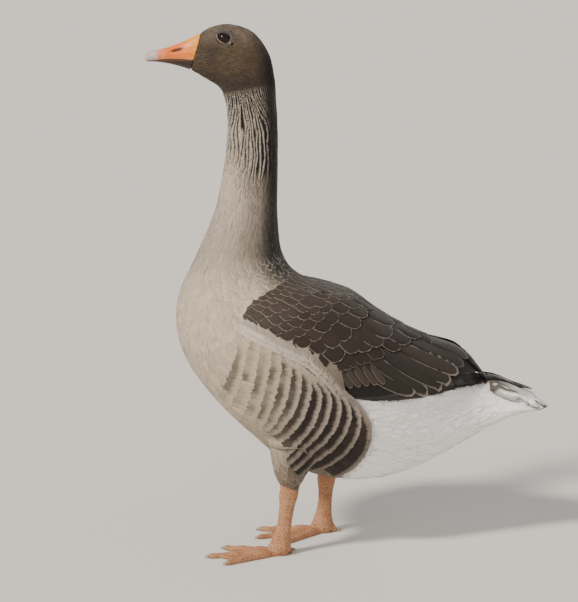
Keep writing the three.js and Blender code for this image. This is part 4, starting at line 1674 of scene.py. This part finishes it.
@dataclass
class Coverts:
    """The lesser, median and greater coverts and the scapulars of the folded wings."""

    bed: Drape
    angle: float = 30.0
    # The line of each row's tips as (x, w), from the lower edge of the wing up to the back.
    lines: tuple[tuple[Pair, ...], ...] = (
        ((-150, 310), (-136, 320), (-120, 328)),
        ((-154, 298), (-133, 311), (-106, 329)),
        ((-157, 285), (-126, 302), (-90, 330)),
        ((-158, 272), (-122, 294), (-74, 331)),
        ((-157, 259), (-114, 281), (-57, 331)),
        ((-154, 248), (-105, 275), (-70, 301), (-38, 327)),
        ((-147, 238), (-94, 261), (-60, 288), (-20, 320)),
        ((-137, 228), (-91, 246), (-53, 270), (-6, 314)),
        ((-126, 219), (-86, 233), (-53, 257), (-30, 284), (8, 308)),
        ((-111, 212), (-76, 224), (-46, 250), (-22, 280), (22, 303)),
        ((-92, 202), (-63, 214), (-36, 236), (-12, 265), (36, 297)),
        ((-70, 194), (-40, 203), (-10, 226), (12, 256), (26, 284), (50, 292)),
        ((-46, 184), (-31, 193), (0, 207), (30, 216), (48, 236), (60, 262), (76, 278)),
        ((-41, 174), (-20, 181), (-1, 188), (20, 197), (36, 205)),
        ((60, 218), (88, 240), (112, 262)),
    )
    lengths: tuple[float, ...] = (18, 20, 22, 25, 28, 31, 35, 38, 41, 44, 47, 50, 52, 30, 56)
    pitches: tuple[float, ...] = (8, 8.5, 9, 10, 11, 12, 13.5, 15, 17, 19, 21, 22, 24, 10.5, 24)
    spread: float = 1.5  # a feather's width as a share of the step to the next
    rearward: float = 18.0  # degrees that the hindmost feathers droop
    tuck: float = 3.8  # how far the foremost roots lie under the breast feathers
    flank_tuck: float = 7.0  # how far the tips lie under the flank
    softness: float = 0.35
    seed: int = 31
    vane: VaneShape = VaneShape(4.6, 2.6, 6, 5, 0.6, 0.4)

    def build(self) -> Piece:
        """Lays the rows from the bend of the wing to the greater coverts."""
        rows = []
        droop = math.radians(self.rearward)
        for number, (line, length, pitch) in enumerate(zip(self.lines, self.lengths, self.pitches)):
            share = number / (len(self.lines) - 1)
            tips, run = spaced(np.array(line, float), pitch)
            ways = unit(np.column_stack([run[:, 1], -run[:, 0]]))
            back = (0.05 + 0.42 * share) * np.linspace(0.6, 1, len(tips))[:, None]
            ways = unit(ways * (1 - back) + np.array([math.cos(droop), -math.sin(droop)]) * back)
            tint = np.tile(blend(tone("473c33"), tone("2b231e"), share), (len(tips), 1))
            rim = np.tile(blend(tone("b5a899"), tone("a09487"), share), (len(tips), 1))
            rows.append(Row(tips, ways, length, pitch * self.spread, tint, rim, rim_share=0.85, lift=0.35,
                            slope=0.05, roll=0.4, stray=0.5 + 0.5 * share))
        return lay_rows("wing_covert_feathers", self.bed, self.vane, rows, self.angle, self.seed,
                        self.softness, self._sink)

    def _sink(self, places: Array) -> Array:
        """How far the feathers sink under the breast feathers and under the upper edge of the flank.

        Args:
            places: positions in millimetres.

        Returns:
            The depth at each of them.
        """
        front = smooth(3, -6, edge_distance(places, MANTLE_EDGE))
        below = smooth(-3, 2, edge_distance(places, WING_EDGE)) * smooth(-8, -22, places[:, 0])
        return self.tuck * front + self.flank_tuck * below


ROOT_LEVEL = -3.4  # the roots of the long feathers lie under the small ones, in millimetres
QUILL_ROLL = 0.4  # how far one edge of a long feather stands over its middle


@dataclass(frozen=True)
class Quill:
    """One long feather, by three places on its middle line in a slanted view. Sizes are in millimetres."""

    root: Pair
    middle: Pair
    tip: Pair
    width: float
    level: float  # of its tip over the surface
    tint: str = "40372f"
    rim: str = "a89c8f"
    rim_share: float = 0.8


def lay_quills(name: str, bed: Drape, shape: VaneShape, quills: Sequence[Quill],
               sights: Sequence[Sight], root_level: float = ROOT_LEVEL) -> Piece:
    """Lays long feathers along curved lines.

    Args:
        name: the new object's name.
        bed: the outer surface that they lie on.
        shape: the feathers' template.
        quills: the feathers.
        sights: the views that they are laid out in, one for each side.
        root_level: how far their roots lie over the surface, in millimetres.

    Returns:
        The new object.
    """
    across, along, height, above, _ = shape.template()
    blocks, parts = [], []
    t = along[: shape.upper, None]
    for sight in sights:
        abreast = -sight.side * across
        for quill in quills:
            ends = [np.array(point, float) for point in (quill.root, quill.middle, quill.tip)]
            ends[1] = 2 * ends[1] - (ends[0] + ends[2]) / 2
            line = (1 - t) ** 2 * ends[0] + 2 * t * (1 - t) * ends[1] + t**2 * ends[2]
            way = unit((1 - t) * (ends[1] - ends[0]) + t * (ends[2] - ends[1]))
            beside = np.column_stack([way[:, 1], -way[:, 0]])
            flat = line + beside * abreast[: shape.upper, None] * quill.width / 2
            places, up = bed.cast(sight.place(flat), sight.way)
            places, up = places[above], up[above]
            level = root_level * (1 - along) + quill.level * along
            rise = level + QUILL_ROLL * abreast + shape.crown * height
            blocks.append(places + up * rise[:, None])
            rim = np.append(tone(quill.rim), quill.rim_share)
            parts.append((places[shape.columns // 2], tone(quill.tint), rim))
    roots, tints, rims = map(np.array, zip(*parts))
    return mesh_of_vanes(name, np.concatenate(blocks), shape, roots, tints, rims)


@dataclass
class Remiges:
    """The flight feathers of the folded wings: primaries, secondaries and tertials."""

    outer: Drape
    angle: float = 30.0
    free_points: int = 3  # on each side

    def secondaries(self) -> Piece:
        """The secondaries and tertials, the upper ones over the lower."""
        small = [
            Quill((-44 + 12.5 * k, 184 + 3 * k), (-35 + 12.2 * k, 171 + 2.7 * k),
                  (-20 + 11.5 * k, 158 + 2.1 * k), 11, -1.6 + 0.2 * k, "40362e", "93877a")
            for k in range(6)
        ]
        large = [
            Quill((-10, 204), (32, 176), (84, 163), 20, -0.4, "29221d"),
            Quill((10, 212), (52, 185), (104, 164), 20, -0.1, "2c2520"),
            Quill((24, 222), (72, 194), (125, 175), 21, 0.8, "2a231e"),
            Quill((34, 226), (86, 201), (137, 184), 24, 1.3, "2e2721"),
            Quill((40, 240), (96, 216), (149, 196), 26, 1.5, "332a24"),
            Quill((60, 252), (112, 232), (158, 208), 26, 1.1, "2d2621", "5d544b"),
            Quill((76, 266), (120, 248), (166, 222), 26, 1.4, "2d2621", "5d544b"),
        ]
        shape = VaneShape(7.0, 2.2, 9, 5, 0.5, 0.6)
        return lay_quills("secondary_feathers", self.outer, shape, small + large, self._sights())

    def primaries(self) -> Piece:
        """The black primaries, which show below the secondaries and run on to the rump."""
        blades = [
            Quill((-36 + 9 * k, 152 + 3.0 * k), (22 + 18 * k, 157 + 5.2 * k),
                  (80 + 19 * k, 167 + 5.6 * k), 15, -1.2 + 0.1 * k, "1a1613", "2e2824", 0.35)
            for k in range(7)
        ]
        shape = VaneShape(4.0, 2.0, 10, 5, 0.5, 0.7)
        return lay_quills("primary_feathers", self.outer, shape, blades, self._sights())

    def _sights(self) -> list[Sight]:
        """The views of the two sides."""
        return [Sight(self.angle, side) for side in SIDES.values()]

    def points(self) -> Piece:
        """The ends of the longest primaries, which run over the rump and past it, clear of the tail."""
        shape = VaneShape(3.0, 1.6, 12, 5, 0.8, 0.5)
        across, along, height, above, _ = shape.template()
        blocks, roots = [], []
        for side in SIDES.values():
            for number in range(self.free_points):
                root = np.array([134.0, side * (27 - 5 * number), 262.0])
                tip = np.array([266.0 - 17 * number, side * (5 + 2 * number), 221.0 + 3 * number])
                middle = root + (tip - root) * along[above][:, None]
                aside = across * (6.5 - 0.8 * number)
                places = middle - aside[:, None] * np.array([0.03, 0.92, -0.38 * side])
                ground, _ = self.outer.cast(places, np.array([0.0, 0.0, -1.0]))
                clear = 0.8 + 0.7 * (self.free_points - number)
                sunk = ROOT_LEVEL * (1 - smooth(0.05, 0.4, along))
                free = smooth(0.1, 0.5, along)
                least = ground[:, 2] + clear * free + sunk
                eased = places[:, 2] * free + least * (1 - free)
                places[:, 2] = np.maximum(eased, least) + shape.crown * height
                blocks.append(places)
                roots.append(root)
        tints = np.tile(tone("1a1613"), (len(roots), 1))
        rims = np.tile(np.append(tone("3a342f"), 0.3), (len(roots), 1))
        return mesh_of_vanes("primary_points", np.concatenate(blocks), shape, np.array(roots), tints, rims)


@dataclass
class Tail:
    """The fan of tail feathers, grey with broad white edges."""

    outer: Drape
    pairs: int = 8
    root_x: float = 199.0
    tip_x: float = 287.0
    half_spread: float = 36.0
    root_spread: float = 22.0
    width: float = 8.5
    root_level: float = 1.2
    level: float = 2.4  # of the middle tips
    level_fall: float = 1.0  # from them to the outermost
    vane: VaneShape = VaneShape(5.0, 2.0, 8, 5, 0.6, 0.5)

    def build(self) -> Piece:
        """Lays the fan from above, the middle feathers on top."""
        quills = []
        for number in range(self.pairs, -1, -1):
            share = number / self.pairs
            for turn in (-1, 1)[: 2 if number else 1]:
                aside = turn * self.half_spread * math.sin(share * 1.35)
                tip = (self.tip_x - 22 * share**2.2, aside)
                root = (self.root_x, turn * self.root_spread * share)
                middle = ((root[0] + tip[0]) / 2, (root[1] + tip[1]) / 2 - turn * 2)
                level = self.level - self.level_fall * share
                quills.append(Quill(root, middle, tip, self.width, level, "544d46", "f6f4ef", 1.0))
        from_above = [Sight(90.0, -1.0)]
        return lay_quills("tail_feathers", self.outer, self.vane, quills, from_above, self.root_level)


# ---- Bill, eyes and claws ----


@dataclass
class Bill:
    """The horn of the bill: the upper bill with its nail and nostrils, and the lower bill."""

    grain: float = 0.75
    passes: int = 5
    fuse: float = 0.25  # closes the thin gaps between the solids
    nostril: Pair = (-244.0, 713.6)  # x and z of the middle
    nostril_half: Pair = (8.2, 2.1)
    nostril_rise: float = 13.0  # degrees, up to the rear
    nostril_depth: float = 2.6
    groove_depth: float = 0.8
    nail_root: float = -270.5
    gape: float = 700.0  # height of the upper bill's lower edge

    NODES = (("bill_upper", "bill_nail"), ("bill_lower",))
    ORANGE = tone("e87410")
    YELLOW = tone("f4a42c")
    PINK = tone("e38a6c")
    NAIL = tone("b9a6a4")
    LIP = tone("d08a5c")
    # Painted shade inside the nostrils.
    NOSTRIL_SHADE = tone("4a1c0c")
    # The lower bill's own colour, darkened by painted shade where it lies under the upper bill.
    LOWER_BILL_AND_SHADE = tone("4c2a1a")
    LOWER_BILL_DEEPER_SHADE = tone("22140d")

    def build(self) -> list[Piece]:
        """Fuses the upper bill and its nail, models the lower bill, and paints both.

        Returns:
            The two pieces.
        """
        upper = fused(self.NODES[0], "bill_upper_horn", self.grain, self.passes, self.fuse)
        places, outward = positions(upper) / MM, normals(upper)
        hole, groove = self._nostril_share(places)
        nail = smooth(self.nail_root + 1, self.nail_root - 1, places[:, 0])
        sink = self.nostril_depth * hole + self.groove_depth * groove - 0.3 * nail
        place_vertices(upper, (places - outward * sink[:, None]) * MM)
        self._paint_upper(upper, places, hole, groove, nail)
        lower = fused(self.NODES[1], "bill_lower_horn", self.grain, self.passes, self.fuse)
        places = positions(lower) / MM
        # Painted shade on the lower bill, deeper towards its tip.
        dark = smooth(-275, -240, places[:, 0])
        lip = smooth(self.gape - 3.5, self.gape - 1.0, places[:, 2]) * 0.12
        colour = blend(self.LOWER_BILL_AND_SHADE, self.LOWER_BILL_DEEPER_SHADE, dark * 0.8)
        paint(lower, "Tint", blend(colour, self.LIP, lip))
        return [upper, lower]

    def dress(self, pieces: list[Piece], horn: Material) -> None:
        """Gives the bill its finish and hides the solids that it stands for.

        Args:
            pieces: the upper and the lower bill.
            horn: their finish.
        """
        for piece, names in zip(pieces, self.NODES):
            smooth_faces(piece)
            piece.data.materials.clear()
            piece.data.materials.append(horn)
            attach(piece, "root")
            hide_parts(*names)

    def _nostril_share(self, places: Array) -> tuple[Array, Array]:
        """How far each point lies in the nostril, and in the shallow groove round it.

        Args:
            places: positions in millimetres.

        Returns:
            Two shares from 0 to 1 for each of them.
        """
        turn = math.radians(self.nostril_rise)
        dx, dz = places[:, 0] - self.nostril[0], places[:, 2] - self.nostril[1]
        a = dx * math.cos(turn) + dz * math.sin(turn)
        b = -dx * math.sin(turn) + dz * math.cos(turn)
        long, tall = self.nostril_half
        beside = np.abs(places[:, 1]) > 4.5
        hole = np.exp(-(((a / long) ** 2 + (b / tall) ** 2) ** 2)) * beside
        groove = np.exp(-((((a - 3) / 15) ** 2 + (b / 5.5) ** 2) ** 2)) * beside
        return hole, groove

    def _paint_upper(self, piece: Piece, places: Array, hole: Array, groove: Array,
                     nail: Array) -> None:
        """Paints the upper bill: yellower at its root, pink before the pale nail.

        Args:
            piece: the upper bill.
            places: its vertices, before the nostrils were sunk.
            hole: how far each lies in a nostril.
            groove: and in the groove round it.
            nail: and on the nail.
        """
        x, _, z = places.T
        root = smooth(-238, -214, x + 0.42 * (z - 716))
        colour = blend(self.ORANGE, self.YELLOW, root * 0.75)
        colour = blend(colour, self.PINK, smooth(-256, -268, x) * 0.6)
        # Painted shade in the sunken groove round the nostril.
        colour = blend(colour, self.ORANGE * 0.8, groove * 0.5)
        lip = smooth(self.gape + 3.2, self.gape + 1.2, z) * smooth(-285, -262, x)
        colour = blend(colour, self.LIP, lip * 0.8)
        # Painted shade in the nostril.
        colour = blend(colour, self.NOSTRIL_SHADE, np.clip(hole * 1.3, 0, 1))
        paint(piece, "Tint", blend(colour, self.NAIL, nail))


FAR_AWAY = 9.0


@dataclass
class Eye:
    """One eye: a glossy ball with a bulging cornea, and the lids round an almond opening."""

    name: str  # "left" or "right"
    lean: tuple[float, float, float] = (-0.12, 0.98, 0.1)  # the way the right eye looks
    slant: float = -28.0  # degrees, the long axis falls to the rear
    swell: float = 1.12  # the ball is this much larger than its solid, behind the same front
    half_long: float = 10.2
    half_up: float = 6.5
    half_down: float = 5.6
    rings: int = 9
    around: int = 56
    lid_clear: float = 0.4  # between the ball and the lids
    reach: float = 13.0  # how far the lids run under the feathers
    bury: float = 0.9  # how far below the coat's height they lie there
    bulge: float = 0.45  # of the cornea
    zone: float = 20.0  # beyond this distance nothing belongs to the eye
    centre: Array = field(init=False)
    radius: float = field(init=False)
    frame: Array = field(init=False)  # long axis, short axis and outward, one a row

    def __post_init__(self) -> None:
        """Takes the place and size from the solid."""
        low, high = (np.array(corner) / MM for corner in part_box(f"eye_{self.name}"))
        self.centre = (low + high) / 2
        radius = float((high - low).max() / 2)
        self.radius = radius * self.swell
        outward = unit(np.array([self.lean[0], SIDES[self.name] * self.lean[1], self.lean[2]]))
        self.centre = self.centre - outward * (self.radius - radius)
        turn = math.radians(self.slant)
        long = np.array([math.cos(turn), 0, math.sin(turn)])
        long = unit(long - outward * (long @ outward))
        short = np.cross(outward, long)
        short = short * np.sign(short[2])
        self.frame = np.array([long, short, outward])

    def build_ball(self) -> Piece:
        """Models the ball with a sphere's faces and a raised cornea, and paints iris and pupil."""
        deselect()
        turn = Vector(self.frame[2]).to_track_quat("Z", "Y").to_euler()
        bpy.ops.mesh.primitive_uv_sphere_add(
            segments=48, ring_count=32, radius=self.radius * MM, location=self.centre * MM, rotation=turn)
        ball = bpy.context.object
        ball.name = f"eyeball_{self.name}"
        bpy.ops.object.transform_apply(location=True, rotation=True, scale=True)
        places = positions(ball) / MM
        way = unit(places - self.centre)
        facing = np.degrees(np.arccos(np.clip(way @ self.frame[2], -1, 1)))
        bulge = self.bulge * smooth(42, 10, facing)
        place_vertices(ball, (self.centre + way * (self.radius + bulge)[:, None]) * MM)
        colour = blend(tone("1c0f09"), tone("0c0706"), smooth(30, 42, facing))
        paint(ball, "Tint", blend(colour, tone("030202"), smooth(21, 17, facing)))
        smooth_faces(ball)
        return ball

    def build_lids(self, outer: Drape) -> Piece:
        """Models both lids as one ring that runs from the almond opening under the feathers.

        Args:
            outer: the head's surface at the coat's height.

        Returns:
            The open upper surface of the lids.
        """
        turn = np.arange(self.around) / self.around * 2 * math.pi
        rim = self._rim(turn)
        far = rim / np.linalg.norm(rim, axis=1, keepdims=True) * self.reach
        rows = []
        for ring in range(self.rings):
            share = ring / (self.rings - 1)
            flat = rim + (far - rim) * share
            across = np.linalg.norm(flat, axis=1)
            shell = self.radius + self.lid_clear + 0.5 * math.exp(-((share / 0.09) ** 2))
            height = np.sqrt(np.maximum(shell**2 - across**2, 9.0))
            on_ball = self.centre + flat @ self.frame[:2] + height[:, None] * self.frame[2]
            hit, up = outer.cast(self.centre + flat @ self.frame[:2], -self.frame[2], 30.0)
            on_head = hit - up * self.bury
            off_ball = smooth(7.6, 10.5, across)[:, None]
            rows.append(on_ball * (1 - off_ball) + on_head * off_ball)
        places = np.concatenate(rows)
        start, step = np.divmod(np.arange((self.rings - 1) * self.around), self.around)
        here = start * self.around + step
        ahead = start * self.around + (step + 1) % self.around
        faces = np.column_stack([here, ahead, ahead + self.around, here + self.around])
        if np.linalg.det(self.frame) < 0:  # a left-handed frame turns the faces round
            faces = faces[:, ::-1]
        name = f"eyelids_{self.name}"
        mesh = bpy.data.meshes.new(name)
        mesh.from_pydata((places * MM).tolist(), [], faces.tolist())
        lids = bpy.data.objects.new(name, mesh)
        bpy.context.scene.collection.objects.link(lids)
        corner_reach = np.tile(1.1 + 1.5 * np.abs(np.cos(turn)) ** 4, self.rings)
        edge = np.exp(-((np.repeat(np.arange(self.rings), self.around) / corner_reach) ** 2))
        lower = np.tile(smooth(0.15, -0.25, np.sin(turn)), self.rings)
        colour = blend(tone("40372e"), tone("1e1712"), edge)
        paint(lids, "Tint", blend(colour, tone("c7a58c"), np.clip(edge * lower * 1.1, 0, 1)))
        smooth_faces(lids)
        return lids

    def dress(self, ball: Piece, wet: Material, lids: Piece, lid_skin: Material) -> None:
        """Gives the ball and the lids their finishes and hides the eye's solid.

        Args:
            ball: the eye's ball.
            wet: its finish.
            lids: the ring of both lids.
            lid_skin: their finish.
        """
        for piece, finish, slot in ((ball, wet, "eye"), (lids, lid_skin, "head_plumage")):
            piece.data.materials.clear()
            piece.data.materials.append(finish)
            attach(piece, "root")
        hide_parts(f"eye_{self.name}")

    def openness(self, points: Array) -> Array:
        """How far points lie from the middle of the opening.

        Args:
            points: positions in millimetres.

        Returns:
            The distance as a share of the rim's, or FAR_AWAY where the eye is not near.
        """
        offset = points - self.centre
        flat = offset @ self.frame[:2].T
        tall = np.where(flat[:, 1] > 0, self.half_up, self.half_down)
        turn = np.arctan2(flat[:, 1] / tall, flat[:, 0] / self.half_long)
        share = np.linalg.norm(flat, axis=1) / np.linalg.norm(self._rim(turn), axis=1)
        return np.where(np.linalg.norm(offset, axis=1) < self.zone, share, FAR_AWAY)

    def _rim(self, turn: Array) -> Array:
        """Points of the almond opening on the long and short axes."""
        tall = np.where(np.sin(turn) > 0, self.half_up, self.half_down)
        short = tall * np.sin(turn) * np.abs(np.sin(turn)) ** 0.3
        return np.column_stack([self.half_long * np.cos(turn), short])


@dataclass
class Claws:
    """The eight claws, smoothed from their solids."""

    grain: float = 0.55
    passes: int = 3

    def build(self) -> Piece:
        """Remeshes copies of the claws and smooths them."""
        nodes = [node for node in frame["nodes"] if node.startswith("claw")]
        claws = fused(nodes, "claw_horn_set", self.grain, self.passes)
        smooth_faces(claws)
        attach(claws, "root")
        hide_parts(*nodes)
        return claws


@dataclass(frozen=True)
class ClawHorn:
    """Claw horn: dull keratin, finely mottled dark and pale."""

    name: str = "claw_horn"
    dark: str = "6e5a47"
    pale: str = "b9a68d"
    roughness: float = 0.42
    mottle: float = 1.2  # width of a patch in millimetres

    def build(self) -> Material:
        """Makes the material."""
        material, tree, shader = new_material(self.name)
        shader.inputs["Roughness"].default_value = self.roughness
        place = add_node(tree, "TexCoord")
        patch = add_node(tree, "TexNoise", {
            "Vector": place.outputs["Object"], "Scale": 1 / (self.mottle * MM), "Detail": 3.0})
        share = add_node(tree, "MapRange", {0: patch, 1: 0.35, 2: 0.65})
        colour = add_node(tree, "Mix", {0: share, 6: linear(self.dark), 7: linear(self.pale)},
                          data_type="RGBA")
        cover(tree, shader, colour.outputs[2], patch, 0.3, 0.2)
        return material


def main() -> None:
    """Builds the goose piece by piece."""
    logging.basicConfig(level=logging.INFO, format="%(message)s")
    Studio().build()
    skin = Skin()
    skin.build()
    log.info("skin: %d faces", len(skin.piece.data.polygons))
    skin.dress(DOWN.build(), Hide().build())
    eyes = [Eye(side) for side in SIDES]
    lids = [eye.build_lids(skin.outer) for eye in eyes]
    lid_skin, wet = LID_SKIN.build(), WET_EYE.build()
    for eye, lid in zip(eyes, lids):
        eye.dress(eye.build_ball(), wet, lid, lid_skin)
    coat = Coat(Drape(*lids, onto=skin.bed), eyes)
    coat.build()
    coat.dress(Plumage("contour_feathers").build())
    bill = Bill()
    bill.dress(bill.build(), BILL_HORN.build())
    claws = Claws().build()
    claws.data.materials.append(ClawHorn().build())
    barred = Plumage("barred_flank_feathers", fringe=(0.77, 0.93), fringe_by_tip=True, bump=0.15).build()
    edged = Plumage("edged_covert_feathers", 4.6, 2.6, (0.8, 0.95), barbs=22.0, roughness=0.62).build()
    flight = Plumage(
        "flight_feathers", 7.0, 2.2, (0.7, 0.9), barbs=34.0, roughness=0.55, sheen=0.1, bump=0.2).build()
    edges = Plumage("white_edged_tail_feathers", 5.0, 2.0, (0.2, 0.45), barbs=30.0, roughness=0.55).build()
    remiges = Remiges(skin.outer)
    layers = (
        (Coverts(skin.bed).build(), edged, "wing_coverts"),
        (remiges.primaries(), flight, "wing_primaries"),
        (remiges.secondaries(), flight, "wing_quills"),
        (remiges.points(), flight, "wing_primaries"),
        (Tail(skin.outer).build(), edges, "tail_feathers"),
        (Flank(skin.bed).build(), barred, "breast_plumage"),
    )
    for piece, finish, slot in layers:
        piece.data.materials.append(finish)
        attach(piece, "root")
        log.info("%s: %d faces", piece.name, len(piece.data.polygons))


if __name__ == "__main__":
    main()
